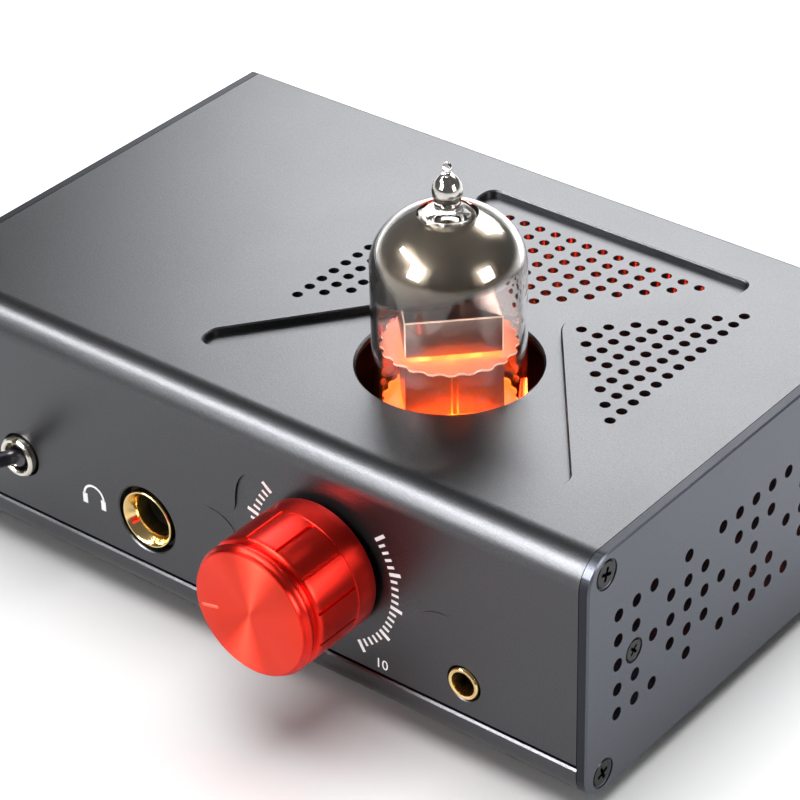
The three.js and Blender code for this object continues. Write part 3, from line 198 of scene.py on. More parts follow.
def blast_group():
    """Fine grain for blasted, moulded or cast surfaces: a fleck and a cloud, both 0 to 1."""
    group = bpy.data.node_groups.new("surface_grain", "ShaderNodeTree")
    for name, default in (("Grain per mm", 6.0), ("Cloud per mm", 0.05)):
        socket = group.interface.new_socket(name, in_out="INPUT", socket_type="NodeSocketFloat")
        socket.default_value = default
    group.interface.new_socket("Vector", in_out="INPUT", socket_type="NodeSocketVector")
    group.interface.new_socket("Fleck", in_out="OUTPUT", socket_type="NodeSocketFloat")
    group.interface.new_socket("Cloud", in_out="OUTPUT", socket_type="NodeSocketFloat")
    links = group.links
    start = group.nodes.new("NodeGroupInput")
    end = group.nodes.new("NodeGroupOutput")
    for name, output, detail in (("Grain per mm", "Fleck", 3.0), ("Cloud per mm", "Cloud", 4.0)):
        per_metre = group.nodes.new("ShaderNodeMath")
        per_metre.operation = "MULTIPLY"
        per_metre.inputs[1].default_value = 1 / MM
        grain = group.nodes.new("ShaderNodeTexNoise")
        grain.inputs["Detail"].default_value = detail
        links.new(start.outputs[name], per_metre.inputs[0])
        links.new(per_metre.outputs[0], grain.inputs["Scale"])
        links.new(start.outputs["Vector"], grain.inputs["Vector"])
        links.new(grain.outputs["Fac"], end.inputs[output])
    return group


GRAIN = blast_group()


def finish(
    name, colour, roughness, metallic=0.0, spread=0.25,
    grain=5.0, bump=0.15, depth=0.01, rough_spread=0.12, **fixed,
):
    """A grained finish: its colour and roughness wander, and its grain stands up by `depth` mm."""
    material = bpy.data.materials.new(name)
    material.use_nodes = True
    tree = material.node_tree
    shader = tree.nodes["Principled BSDF"]
    coords = tree.nodes.new("ShaderNodeTexCoord")
    surface = tree.nodes.new("ShaderNodeGroup")
    surface.node_tree = GRAIN
    surface.inputs["Grain per mm"].default_value = grain
    surface.inputs["Cloud per mm"].default_value = grain / 80
    tree.links.new(coords.outputs["Object"], surface.inputs["Vector"])
    mix = tree.nodes.new("ShaderNodeMix")
    mix.data_type = "RGBA"
    mix.inputs["A"].default_value = (*[c * (1 - spread) for c in colour], 1)
    mix.inputs["B"].default_value = (*[min(1, c * (1 + spread)) for c in colour], 1)
    tree.links.new(surface.outputs["Fleck"], mix.inputs["Factor"])
    tree.links.new(mix.outputs["Result"], shader.inputs["Base Color"])
    rough = tree.nodes.new("ShaderNodeMapRange")
    rough.inputs["To Min"].default_value = max(0.02, roughness - rough_spread)
    rough.inputs["To Max"].default_value = min(1, roughness + rough_spread)
    tree.links.new(surface.outputs["Cloud"], rough.inputs["Value"])
    tree.links.new(rough.outputs["Result"], shader.inputs["Roughness"])
    relief = tree.nodes.new("ShaderNodeBump")
    relief.inputs["Strength"].default_value = bump
    relief.inputs["Distance"].default_value = depth * MM
    tree.links.new(surface.outputs["Fleck"], relief.inputs["Height"])
    tree.links.new(relief.outputs["Normal"], shader.inputs["Normal"])
    shader.inputs["Metallic"].default_value = metallic
    for socket, value in fixed.items():
        shader.inputs[socket.replace("_", " ")].default_value = value
    return material


BLASTED = {"grain": 4.5, "depth": 0.03, "rough_spread": 0.03}
gunmetal = finish("gunmetal", GUNMETAL, 0.36, 1.0, spread=0.35, bump=0.5, **BLASTED)


def shell_outline(upper):
    """Section of one shell: its skin with a fine chamfer at the seam, then its inside."""
    inner_front, inner_rear = FRONT + SHELL_WALL, REAR - SHELL_WALL
    ceiling, bottom = TOP - SHELL_WALL, UNDERSIDE + SHELL_WALL
    q = math.pi / 2
    if upper:
        low = SEAM + SEAM_HALF
        skin = [(FRONT + SEAM_CHAMFER, low), (FRONT, low + SEAM_CHAMFER)]
        skin += arc(FRONT + FRONT_TOP_ROUND, TOP - FRONT_TOP_ROUND, FRONT_TOP_ROUND, 2 * q, q)
        skin += arc(REAR - REAR_ROUND, TOP - REAR_ROUND, REAR_ROUND, q, 0)
        skin += [(REAR, low + SEAM_CHAMFER), (REAR - SEAM_CHAMFER, low)]
        return skin + [(inner_rear, low), (inner_rear, ceiling), (inner_front, ceiling), (inner_front, low)]
    high = SEAM - SEAM_HALF
    skin = [(FRONT + SEAM_CHAMFER, high), (FRONT, high - SEAM_CHAMFER)]
    skin += arc(FRONT + FRONT_FOOT_ROUND, UNDERSIDE + FRONT_FOOT_ROUND, FRONT_FOOT_ROUND, 2 * q, 3 * q)
    skin += arc(REAR - REAR_ROUND, UNDERSIDE + REAR_ROUND, REAR_ROUND, -q, 0)
    skin += [(REAR, high - SEAM_CHAMFER), (REAR - SEAM_CHAMFER, high)]
    return skin + [(inner_rear, high), (inner_rear, bottom), (inner_front, bottom), (inner_front, high)]


def extruded(outline, ends):
    return loft([[(x, y, z) for y, z in outline] for x in ends])


def grown(outline, amount):
    """A closed flat outline moved outwards by an amount."""
    count = len(outline)
    onward = outline[1:] + outline[:1]
    area = sum(here[0] * there[1] - there[0] * here[1] for here, there in zip(outline, onward))
    side = 1 if area > 0 else -1
    moved = []
    for i in range(count):
        before, after = Vector(outline[i - 1]), Vector(outline[(i + 1) % count])
        along = (after - before).normalized()
        moved.append((outline[i][0] + side * along.y * amount, outline[i][1] - side * along.x * amount))
    return moved


def rounded_corners(corners, steps=14):
    points = []
    for i, (x, y, radius) in enumerate(corners):
        here = Vector((x, y))
        before = (Vector(corners[i - 1][:2]) - here).normalized()
        after = (Vector(corners[(i + 1) % len(corners)][:2]) - here).normalized()
        reach = radius / math.tan(math.acos(max(-1, min(1, before.dot(after)))) / 2)
        start, end = here + before * reach, here + after * reach
        points += [tuple(start)] + curve3(tuple(start), (x, y), tuple(end), steps)
    return points


POCKET_FLOOR = TOP - 1.1
POCKET_LIP = 0.22
pocket_right = [(31.2, -24.85, 2), (31.2, -21.25, 2), (6.8, 10.15, 4.5), (23.6, 30.85, 2), (23.6, 34.45, 2)]
pocket_left = [(-x, y, radius) for x, y, radius in reversed(pocket_right)]
pocket = [(x + TUBE_X, y) for x, y in rounded_corners(pocket_right + pocket_left)]

DISH_FADE, DISH_LEAN = -4.0, 0.035
DISH_RADIUS, DISH_CROWN, DISH_TIP, DISH_FLOOR, DISH_START = 16.3, 12.3, 22.0, 14.3, 0.3
DISH_FLARE, DISH_FOOT, DISH_HIP, DISH_CLEAR = 0.97, 0.16, 0.6, 1.5


def dish_outline():
    flare, foot, hip = [DISH_RADIUS * share for share in (DISH_FLARE, DISH_FOOT, DISH_HIP)]
    shoulder = (DISH_CROWN * 0.85, DISH_CROWN * 0.75)
    right = [(0, DISH_CROWN)] + curve3((0, DISH_CROWN), (DISH_CROWN / 2, DISH_CROWN), shoulder)
    right += curve3(shoulder, (flare, hip), (flare, foot))
    right += curve3((flare, foot), (flare, 0), (DISH_TIP, 0))
    join = (DISH_RADIUS * math.cos(DISH_START), -DISH_RADIUS * math.sin(DISH_START))
    right += curve3((DISH_TIP, 0), (flare, 0), join)
    right += arc(0, 0, DISH_RADIUS, -DISH_START, -math.asin(DISH_FLOOR / DISH_RADIUS), 12)[1:]
    left = [(-x, z) for x, z in reversed(right[1:])]
    return [(x + KNOB_X, z + KNOB_Z) for x, z in right + left]


def dish_depth(x, z):
    """The dish is deepest over the knob, and its leaning floor runs out below the knob's axis."""
    return DISH_LEAN * (z - KNOB_Z - DISH_FADE)


def cutter(form):
    return as_piece("cutter", form, None)


def cut_away(piece, cutters, smooth=32):
    """Takes the cutters out of the piece for good, one exact cut after another."""
    for tool in cutters:
        cut = piece.modifiers.new("cut", "BOOLEAN")
        cut.operation, cut.solver, cut.object = "DIFFERENCE", "EXACT", tool
        bpy.context.view_layer.update()
        mesh = bpy.data.meshes.new_from_object(piece.evaluated_get(bpy.context.evaluated_depsgraph_get()))
        piece.modifiers.clear()
        old = piece.data
        piece.data = mesh
        bpy.data.meshes.remove(old)
        bpy.data.objects.remove(tool)
    piece.data.shade_smooth()
    piece.data.set_sharp_from_angle(angle=math.radians(smooth))


def punch_tree():
    """Drills for a perforation: one round punch on every point of a mesh of places."""
    tree = bpy.data.node_groups.new("perforation", "GeometryNodeTree")
    tree.interface.new_socket("Places", in_out="INPUT", socket_type="NodeSocketGeometry")
    for name, kind in (("Radius", "Float"), ("Length", "Float"), ("Sides", "Int"), ("Turn", "Vector")):
        tree.interface.new_socket(name, in_out="INPUT", socket_type=f"NodeSocket{kind}")
    tree.interface.new_socket("Punches", in_out="OUTPUT", socket_type="NodeSocketGeometry")
    start, end = tree.nodes.new("NodeGroupInput"), tree.nodes.new("NodeGroupOutput")
    punch = tree.nodes.new("GeometryNodeMeshCylinder")
    place = tree.nodes.new("GeometryNodeInstanceOnPoints")
    real = tree.nodes.new("GeometryNodeRealizeInstances")
    paint = tree.nodes.new("GeometryNodeSetMaterial")
    paint.inputs["Material"].default_value = gunmetal
    turn = tree.nodes.new("FunctionNodeEulerToRotation")
    links = tree.links
    links.new(start.outputs["Places"], place.inputs["Points"])
    links.new(start.outputs["Radius"], punch.inputs["Radius"])
    links.new(start.outputs["Length"], punch.inputs["Depth"])
    links.new(start.outputs["Sides"], punch.inputs["Vertices"])
    links.new(start.outputs["Turn"], turn.inputs["Euler"])
    links.new(turn.outputs["Rotation"], place.inputs["Rotation"])
    links.new(punch.outputs["Mesh"], place.inputs["Instance"])
    links.new(place.outputs["Instances"], real.inputs["Geometry"])
    links.new(real.outputs["Geometry"], paint.inputs["Geometry"])
    links.new(paint.outputs["Geometry"], end.inputs["Punches"])
    return tree


PUNCHES = punch_tree()


def grown_by_nodes(name, tree, mesh, settings):
    """Runs a node tree on a mesh with named settings, and keeps the result as a plain object."""
    piece = bpy.data.objects.new(name, mesh)
    bpy.context.scene.collection.objects.link(piece)
    growth = piece.modifiers.new("growth", "NODES")
    growth.node_group = tree
    sockets = {item.name: item.identifier for item in tree.interface.items_tree if item.in_out == "INPUT"}
    for key, value in settings.items():
        growth[sockets[key]] = value
    bpy.context.view_layer.update()
    result = bpy.data.meshes.new_from_object(piece.evaluated_get(bpy.context.evaluated_depsgraph_get()))
    piece.modifiers.clear()
    piece.data = result
    return piece


def places_mesh(places):
    mesh = bpy.data.meshes.new("places")
    mesh.from_pydata([tuple(c * MM for c in p) for p in places], [], [])
    return mesh


def punches(places, radius, length, turn=(0, 0, 0), sides=24):
    settings = {"Radius": radius * MM, "Length": length * MM, "Sides": sides, "Turn": turn}
    return grown_by_nodes("punches", PUNCHES, places_mesh(places), settings)


VENT_RADIUS, BACK_PITCH, SIDE_PITCH, VENT_ROWS = 0.8, 2.86, 2.77, 7
BACK_VENT_Y, SIDE_VENT_X, SIDE_VENT_Y = 30.35, 27.6, 9.55
top_vents = []
for row in range(VENT_ROWS):
    holes = 2 * (VENT_ROWS - row) - 1
    for i in range(holes):
        across = i - (holes - 1) / 2
        top_vents.append((TUBE_X + across * BACK_PITCH, BACK_VENT_Y - row * BACK_PITCH, TOP))
        for side in (-1, 1):
            x = TUBE_X + side * (SIDE_VENT_X - row * SIDE_PITCH)
            top_vents.append((x, SIDE_VENT_Y + across * SIDE_PITCH, TOP))

upper_form = extruded(shell_outline(True), (-SHELL_ENDS, SHELL_ENDS))
upper = as_piece("case_upper_shell", upper_form, gunmetal, SHELL_SMOOTH)
pocket_levels = [(0, POCKET_FLOOR), (0, TOP - POCKET_LIP), (POCKET_LIP, TOP), (POCKET_LIP, TOP + 1)]
pocket_tool = loft([[(x, y, z) for x, y in grown(pocket, wide)] for wide, z in pocket_levels])
dish_tool = loft([
    [(x, FRONT + dish_depth(x, z), z) for x, z in dish_outline()],
    [(x, FRONT - DISH_CLEAR, z) for x, z in dish_outline()],
])
cut_away(upper, [cutter(pocket_tool), cutter(dish_tool)])


def drill(radius, x, z, face, lip=0.2, way=1):
    """A hole through the front (way 1) or rear (way -1) panel with a fine chamfer."""
    inside, outside = face + way * DRILL_REACH, face - way
    bore = [(0, inside), (radius, inside), (radius, face + way * lip)]
    mouth = [(radius + lip, face), (radius + lip, outside), (0, outside)]
    return cutter(turned(bore + mouth, 64, (x, 0, z), "Y"))


DRILL_REACH, SHAFT_HOLE = 4, 4.3
PHONE_X, PHONE_Z, PHONE_HOLE = -15.9, 16.9, 5.4
TOGGLE_X, TOGGLE_Z, TOGGLE_HOLE = -40.8, 18.2, 3.5
MIC_X, MIC_Z, MIC_HOLE = 41.5, 14.3, 2.8
RCA_PLACES, RCA_Z, RCA_HOLE = (17.0, 31.0), 22.0, 4.45
DC_X, DC_Z, DC_HOLE = -40.0, 17.5, 3.5
TUBE_HOLE, TUBE_HOLE_LIP, TUBE_HOLE_SIDES = 13.3, 0.3, 200
WELL_FLOOR, WELL_HEAD = TOP - 5, TOP + 1
well = [(0, WELL_FLOOR), (TUBE_HOLE, WELL_FLOOR), (TUBE_HOLE, POCKET_FLOOR - TUBE_HOLE_LIP)]
well += [(TUBE_HOLE + TUBE_HOLE_LIP, POCKET_FLOOR), (TUBE_HOLE + TUBE_HOLE_LIP, WELL_HEAD), (0, WELL_HEAD)]
openings = [cutter(turned(well, TUBE_HOLE_SIDES, (TUBE_X, TUBE_Y, 0)))]
openings += [drill(SHAFT_HOLE, KNOB_X, KNOB_Z, FRONT, 0.1), drill(PHONE_HOLE, PHONE_X, PHONE_Z, FRONT)]
openings += [drill(TOGGLE_HOLE, TOGGLE_X, TOGGLE_Z, FRONT, 0.1), drill(MIC_HOLE, MIC_X, MIC_Z, FRONT, 0.1)]
openings += [drill(RCA_HOLE, x, RCA_Z, REAR, way=-1) for x in RCA_PLACES]
openings.append(drill(DC_HOLE, DC_X, DC_Z, REAR, way=-1))
openings.append(punches(top_vents, VENT_RADIUS, 8))
cut_away(upper, openings, SHELL_SMOOTH)
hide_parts("upper_shell")
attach(upper, "case")

lower_form = extruded(shell_outline(False), (-SHELL_ENDS, SHELL_ENDS))
lower = as_piece("case_lower_shell", lower_form, gunmetal)
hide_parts("lower_shell")
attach(lower, "case")

# ---- End plates ----
# Two aluminium sheets of 1.5 mm close the ends. They are cut to the case's outline,
# perforated, blasted and anodised a bluer grey; their cut edges get a darker copy of that finish as painted
# shade.
PLATE_OUTER, PLATE_INNER, PLATE_EDGE = 61.8, 60.3, 0.25
PLATE_PITCH, PLATE_FIRST, PLATE_HOLE, PLATE_COLUMNS = 4.1, -29.5, 1.0, 17
PLATE_ROWS = (30.9, 26.8, 22.7, 18.6, 14.5)
PLATE_PERIOD = ("11111", "11011", "10101", "01110", "11111", "01110", "10101", "11011")
CORNER_SCREWS = [(y, z, 2.0) for y in (-32.45, 39.05) for z in (6.2, 39.2)]
SCREW_SEATS = CORNER_SCREWS + [(y, 22.8, 1.6) for y in (-25.75, 32.35)]
SEAT_BORE, SEAT_DEEP, SEAT_SLACK = 1.4, 0.9, 0.3
plate_blue = finish("end_plate", (0.094, 0.100, 0.118), 0.42, 1.0, spread=0.3, bump=0.4, **BLASTED)
# Painted shade: a darker copy of the plate finish for the plates' cut edges.
RIM_SHADE_COLOUR = (0.030, 0.032, 0.038)
plate_rim_shade = finish("end_plate_rim_painted_shade", RIM_SHADE_COLOUR, 0.42, 1.0, spread=0.3, grain=4.5, bump=0.4, depth=0.03)


def case_outline(inset):
    q = math.pi / 2
    foot, top, rear = FRONT_FOOT_ROUND, FRONT_TOP_ROUND, REAR_ROUND
    points = arc(FRONT + foot, UNDERSIDE + foot, foot - inset, 2 * q, 3 * q)
    points += arc(REAR - rear, UNDERSIDE + rear, rear - inset, -q, 0)
    points += arc(REAR - rear, TOP - rear, rear - inset, 0, q)
    return points + arc(FRONT + top, TOP - top, top - inset, q, 2 * q)


plate_vents = [
    (PLATE_FIRST + column * PLATE_PITCH, z)
    for column in range(PLATE_COLUMNS)
    for hole, z in zip(PLATE_PERIOD[column % len(PLATE_PERIOD)], PLATE_ROWS)
    if hole == "1"
]
for side, label in ((-1, "left"), (1, "right")):
    levels = [(0, PLATE_INNER), (0, PLATE_OUTER - PLATE_EDGE), (PLATE_EDGE, PLATE_OUTER)]
    rings = [[(side * x, y, z) for y, z in case_outline(inset)] for inset, x in levels]
    plate = as_piece(f"plate_{label}", loft(rings), plate_blue)
    seats = []
    for y, z, head in SCREW_SEATS:
        mouth = head + SEAT_SLACK
        cone = [(0, PLATE_INNER - 1), (SEAT_BORE, PLATE_INNER - 1), (SEAT_BORE, PLATE_OUTER - SEAT_DEEP)]
        cone += [(mouth, PLATE_OUTER - PLATE_EDGE), (mouth, PLATE_OUTER + 1), (0, PLATE_OUTER + 1)]
        seats.append(cutter(turned([(r, side * x) for r, x in cone], 40, (0, y, z), "X")))
    middle = side * (PLATE_OUTER + PLATE_INNER) / 2
    vents = punches([(middle, y, z) for y, z in plate_vents], PLATE_HOLE, 6, (0, math.pi / 2, 0))
    cut_away(plate, [vents] + seats)
    plate.data.materials.append(plate_rim_shade)
    # The rim, which gets the painted-shade finish, is the faces near the outline that point outwards, and any
    # large one that does.
    for polygon in plate.data.polygons:
        y, z = polygon.center.y / MM, polygon.center.z / MM
        outside = y < FRONT + 0.6 or y > REAR - 0.1 or z < UNDERSIDE + 0.1 or z > TOP - 0.1
        if outside and abs(polygon.normal.x) < 0.3 or abs(polygon.normal.x) < 0.01 and polygon.area > 5e-7:
            polygon.material_index = 1
    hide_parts(f"end_plate_{label}")
    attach(plate, "case")

# ---- Screws ----
# Six black countersunk machine screws with cross recesses hold each end plate. The
# middle two are a size smaller and go into the board's rails.
SCREW_HEAD, SCREW_SHANK, SCREW_LONG, SCREW_SUNK = 2.0, 1.1, 8.0, 0.05
SPIN_FIRST, SPIN_STEP = 0.35, 0.9
CROSS_LONG, CROSS_WIDE, CROSS_DEEP = 2.2, 0.55, 0.6
black_steel = finish("black_steel", (0.012, 0.012, 0.013), 0.3, 0.8, spread=0.4, grain=7, bump=0.3)
screw_profile = [(0, 0), (SCREW_HEAD - 0.15, 0), (SCREW_HEAD, -0.15), (SCREW_HEAD, -0.3)]
screw_profile += [(SCREW_SHANK, -1.2), (SCREW_SHANK, -SCREW_LONG), (0, -SCREW_LONG)]
master = as_piece("screw_master", turned(screw_profile, 32, (0, 0, 0)), black_steel)
for long, wide in ((CROSS_LONG, CROSS_WIDE), (CROSS_WIDE, CROSS_LONG)):
    slot_form = bmesh.new()
    bmesh.ops.create_cube(slot_form, size=1)
    bmesh.ops.scale(slot_form, vec=(long, wide, 2 * CROSS_DEEP), verts=slot_form.verts)
    cut_away(master, [cutter(slot_form)])


def fixing_tree():
    """One fixing on every point, turned and sized by the points' own attributes."""
    tree = bpy.data.node_groups.new("fixings", "GeometryNodeTree")
    tree.interface.new_socket("Places", in_out="INPUT", socket_type="NodeSocketGeometry")
    tree.interface.new_socket("Master", in_out="INPUT", socket_type="NodeSocketObject")
    tree.interface.new_socket("Finish", in_out="INPUT", socket_type="NodeSocketMaterial")
    tree.interface.new_socket("Fixings", in_out="OUTPUT", socket_type="NodeSocketGeometry")
    start, end = tree.nodes.new("NodeGroupInput"), tree.nodes.new("NodeGroupOutput")
    thing = tree.nodes.new("GeometryNodeObjectInfo")
    place = tree.nodes.new("GeometryNodeInstanceOnPoints")
    real = tree.nodes.new("GeometryNodeRealizeInstances")
    paint = tree.nodes.new("GeometryNodeSetMaterial")
    turn, size = [tree.nodes.new("GeometryNodeInputNamedAttribute") for _ in range(2)]
    for attribute, name in ((turn, "turn"), (size, "size")):
        attribute.data_type = "FLOAT_VECTOR"
        attribute.inputs["Name"].default_value = name
    spin = tree.nodes.new("FunctionNodeEulerToRotation")
    links = tree.links
    links.new(start.outputs["Places"], place.inputs["Points"])
    links.new(start.outputs["Master"], thing.inputs["Object"])
    links.new(thing.outputs["Geometry"], place.inputs["Instance"])
    links.new(turn.outputs["Attribute"], spin.inputs["Euler"])
    links.new(spin.outputs["Rotation"], place.inputs["Rotation"])
    links.new(size.outputs["Attribute"], place.inputs["Scale"])
    links.new(place.outputs["Instances"], real.inputs["Geometry"])
    links.new(real.outputs["Geometry"], paint.inputs["Geometry"])
    links.new(start.outputs["Finish"], paint.inputs["Material"])
    links.new(paint.outputs["Geometry"], end.inputs["Fixings"])
    return tree


FIXINGS = fixing_tree()


def fixed_on(name, places, turns, sizes, thing, material):
    mesh = places_mesh(places)
    for key, values in (("turn", turns), ("size", sizes)):
        attribute = mesh.attributes.new(key, "FLOAT_VECTOR", "POINT")
        attribute.data.foreach_set("vector", [c for value in values for c in value])
    piece = grown_by_nodes(name, FIXINGS, mesh, {"Master": thing, "Finish": material})
    bpy.data.objects.remove(thing)
    piece.data.shade_smooth()
    piece.data.set_sharp_from_angle(angle=math.radians(32))
    return piece


places, turns, sizes = [], [], []
for side in (-1, 1):
    for i, (y, z, head) in enumerate(SCREW_SEATS):
        places.append((side * (PLATE_OUTER - SCREW_SUNK), y, z))
        spin = Matrix.Rotation(SPIN_FIRST + SPIN_STEP * i, 3, "X")
        turns.append((spin @ Matrix.Rotation(side * math.pi / 2, 3, "Y")).to_euler())
        share = head / SCREW_HEAD
        sizes.append((share, share, 1))
screws = fixed_on("plate_screws", places, turns, sizes, master, black_steel)
rows = ("front_bottom", "front_top", "rear_bottom", "rear_top", "front_middle", "rear_middle")
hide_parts(*[f"screw_{label}_{row}" for label in ("left", "right") for row in rows])
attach(screws, "case")

# ---- Feet ----
# Four round moulded rubber feet with a soft rounded edge are glued under the lower shell.
FOOT_PLACES = [(x, y, 0) for x in (-50.8, 50.8) for y in (-25.45, 32.05)]
rubber = finish("rubber", (0.018, 0.018, 0.019), 0.75, 0.0, spread=0.3, grain=4, bump=0.5, depth=0.05)
foot_profile = [(0, 0.2), (3.2, 0.2), (3.6, 0), (4.5, 0), (4.85, 0.15), (5, 0.5)]
foot_profile += [(5, 2.2), (4.8, 2.6), (4.4, 2.7), (0, 2.7)]
foot = as_piece("foot_master", turned(foot_profile, 48, (0, 0, 0)), rubber)
feet = fixed_on("rubber_feet", FOOT_PLACES, [(0, 0, 0)] * 4, [(1, 1, 1)] * 4, foot, rubber)
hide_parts(*[f"foot_{row}_{label}" for row in ("front", "rear") for label in ("left", "right")])
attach(feet, "case")

# ---- Volume knob ----
# The knob is turned from aluminium and anodised red. Its face is spun to a radial sheen
# and engraved with one line; a polished bead stands behind it, and twelve flutes run
# from there to a smooth rear ring.
KNOB_BACK, KNOB_LONG, KNOB_RADIUS = -37.25, 14.8, 10.1
KNOB_FACE = KNOB_BACK - KNOB_LONG
KNOB_RED, KNOB_FACE_RED = (0.70, 0.022, 0.014), (0.80, 0.055, 0.030)
SPUN = {"grain": 3, "depth": 0.004, "Anisotropic_Rotation": 0.25}
FLUTES, FLUTE_HALF, FLUTE_DEEP, FLUTE_FROM, FLUTE_TO = 12, 1.7, 0.42, 3.3, 10.7
LINE_ANGLE, LINE_FROM, LINE_TO, LINE_HALF, LINE_DEEP = 103, 5.8, 8.9, 0.26, 0.2
knob_red = finish(
    "red_anodised", KNOB_RED, 0.34, 1.0,
    spread=0.06, bump=0.04, rough_spread=0.05, Anisotropic=0.8, **SPUN,
)
face_red = finish(
    "red_spun_face", KNOB_FACE_RED, 0.42, 1.0,
    spread=0.05, bump=0.03, rough_spread=0.04, Anisotropic=0.9, **SPUN,
)
for turned_red in (knob_red, face_red):
    tree = turned_red.node_tree
    sheen = tree.nodes.new("ShaderNodeTangent")
    sheen.direction_type, sheen.axis = "RADIAL", "Y"
    tree.links.new(sheen.outputs["Tangent"], tree.nodes["Principled BSDF"].inputs["Tangent"])
line_pink = finish("engraved_line", (0.95, 0.25, 0.17), 0.5, 0.3, spread=0.1)

# Radius and depth behind the face: the cap, the bead, a groove, the flutes, the rear ring
# and the hollow back.
skin = [(0, 0), (3, 0), (6, 0), (9.3, 0), (9.5, 0.1), (9.58, 0.4)]
skin += [(9.6 + 0.45 * math.sin(math.pi * i / 10), 0.5 + 1.5 * i / 10) for i in range(11)]
skin += [(9.4, 2.1), (9.3, 2.25), (9.3, 2.75), (9.8, 2.9), (10.0, 3.05)]
skin += [(KNOB_RADIUS, d) for d in (3.3, 3.8, 6, 8.5, 10.2, 10.7)]
skin += [(9.95, 10.78), (9.95, 10.92)]
skin += [(KNOB_RADIUS, d) for d in (11.0, 12.8, 14.5)]
skin += [(9.95, 14.75), (9.75, KNOB_LONG), (8.0, KNOB_LONG), (8.0, 10.4), (3.3, 10.4), (3.3, 3.8), (0, 3.8)]
pitch = 360 / FLUTES
angles = []
for flute in range(FLUTES):
    middle = pitch * (flute + 0.5)
    angles += [middle + step for step in (-FLUTE_HALF, -0.8, 0, 0.8, FLUTE_HALF)]
    angles += [middle + FLUTE_HALF + (pitch - 2 * FLUTE_HALF) * i / 12 for i in range(1, 12)]
form = bmesh.new()
rings = []
for radius, d in skin:
    ring = []
    for angle in angles if radius else angles[:1]:
        off = abs(angle % pitch - pitch / 2)
        fluted = radius > 9.97 and FLUTE_FROM <= d <= FLUTE_TO and off < 1
        a = math.radians(angle)
        r = radius - (FLUTE_DEEP if fluted else 0)
        ring.append(form.verts.new((KNOB_X + r * math.sin(a), KNOB_FACE + d, KNOB_Z + r * math.cos(a))))
    rings.append(ring)
for low, high in zip(rings, rings[1:]):
    for i in range(len(angles)):
        j = (i + 1) % len(angles)
        around = [low[i % len(low)], low[j % len(low)], high[j % len(high)], high[i % len(high)]]
        form.faces.new(list(dict.fromkeys(around)))
knob = as_piece("volume_knob_turned", form, knob_red)
knob.data.materials.append(face_red)
knob.data.materials.append(line_pink)
a = math.radians(LINE_ANGLE)
line = bmesh.new()
bmesh.ops.create_cube(line, size=1)
bmesh.ops.scale(line, vec=(LINE_TO - LINE_FROM, 2 * LINE_DEEP, 2 * LINE_HALF), verts=line.verts)
bmesh.ops.translate(line, vec=((LINE_FROM + LINE_TO) / 2, 0, 0), verts=line.verts)
bmesh.ops.rotate(line, cent=(0, 0, 0), matrix=Matrix.Rotation(a - math.pi / 2, 3, "Y"), verts=line.verts)
bmesh.ops.scale(line, vec=(-1, 1, 1), verts=line.verts)
bmesh.ops.translate(line, vec=(KNOB_X, KNOB_FACE, KNOB_Z), verts=line.verts)
cut_away(knob, [cutter(line)])
for polygon in knob.data.polygons:
    depth = polygon.center.y / MM - KNOB_FACE
    middle = math.hypot(polygon.center.x / MM - KNOB_X, polygon.center.z / MM - KNOB_Z)
    flat = polygon.normal.y < -0.999 and depth < 0.05
    engraved = 0.02 < depth < LINE_DEEP + 0.02 and LINE_FROM - 0.1 < middle < LINE_TO + 0.1
    polygon.material_index = 1 if flat else 2 if engraved else 0
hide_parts("volume_knob")
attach(knob, "knob")

# ---- Dial marks ----
# The dial is printed in white on the panel round the knob: two arcs of long and short
# ticks, and the numbers 0 and 10 at their lower ends.
TICK_INNER, TICK_LONG, TICK_SHORT, TICK_BOLD, TICK_FINE, INK = 12.0, 2.0, 1.2, 0.56, 0.42, 0.04
TICK_FIRST, TICK_STEP, TICKS_PER_ARC, BOLD_EVERY = 50, 5, 21, 5
DIAL_X, DIAL_Z = 17.3, 23.8
NUMBER_SIZE, NUMBER_Z = 2.3, 10.9
white_ink = finish("dial_ink", (0.9, 0.9, 0.9), 0.5, 0.0, spread=0.05, grain=9, bump=0.1)
tick = bmesh.new()
bmesh.ops.create_cube(tick, size=1)
tick_master = as_piece("tick_master", tick, white_ink, mm=False)
places, turns, sizes = [], [], []
for side in (-1, 1):
    for i in range(TICKS_PER_ARC):
        angle = side * math.radians(TICK_FIRST + i * TICK_STEP)
        long = TICK_SHORT if i % BOLD_EVERY else TICK_LONG
        wide = TICK_FINE if i % BOLD_EVERY else TICK_BOLD
        reach = TICK_INNER + long / 2
        x, z = DIAL_X + reach * math.sin(angle), DIAL_Z + reach * math.cos(angle)
        places.append((x, FRONT + max(0, dish_depth(x, z)) - INK / 2, z))
        turns.append((0, angle, 0))
        sizes.append((wide * MM, INK * MM, long * MM))
ticks = fixed_on("dial_ticks", places, turns, sizes, tick_master, white_ink)
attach(ticks, "case")


def lettering(name, words, x):
    text = bpy.data.curves.new(name, "FONT")
    text.body, text.size, text.extrude = words, NUMBER_SIZE * MM, INK / 2 * MM
    text.align_x, text.align_y = "CENTER", "CENTER"
    written = bpy.data.objects.new(name, text)
    bpy.context.scene.collection.objects.link(written)
    bpy.context.view_layer.update()
    mesh = bpy.data.meshes.new_from_object(written.evaluated_get(bpy.context.evaluated_depsgraph_get()))
    bpy.data.objects.remove(written)
    place = Vector((x, FRONT - INK / 2, NUMBER_Z)) * MM
    mesh.transform(Matrix.Translation(place) @ Matrix.Rotation(math.pi / 2, 4, "X"))
    mesh.materials.clear()
    mesh.materials.append(white_ink)
    piece = bpy.data.objects.new(name, mesh)
    bpy.context.scene.collection.objects.link(piece)
    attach(piece, "case")


lettering("dial_high", "10", 27.3)
lettering("dial_low", "0", 7.6)

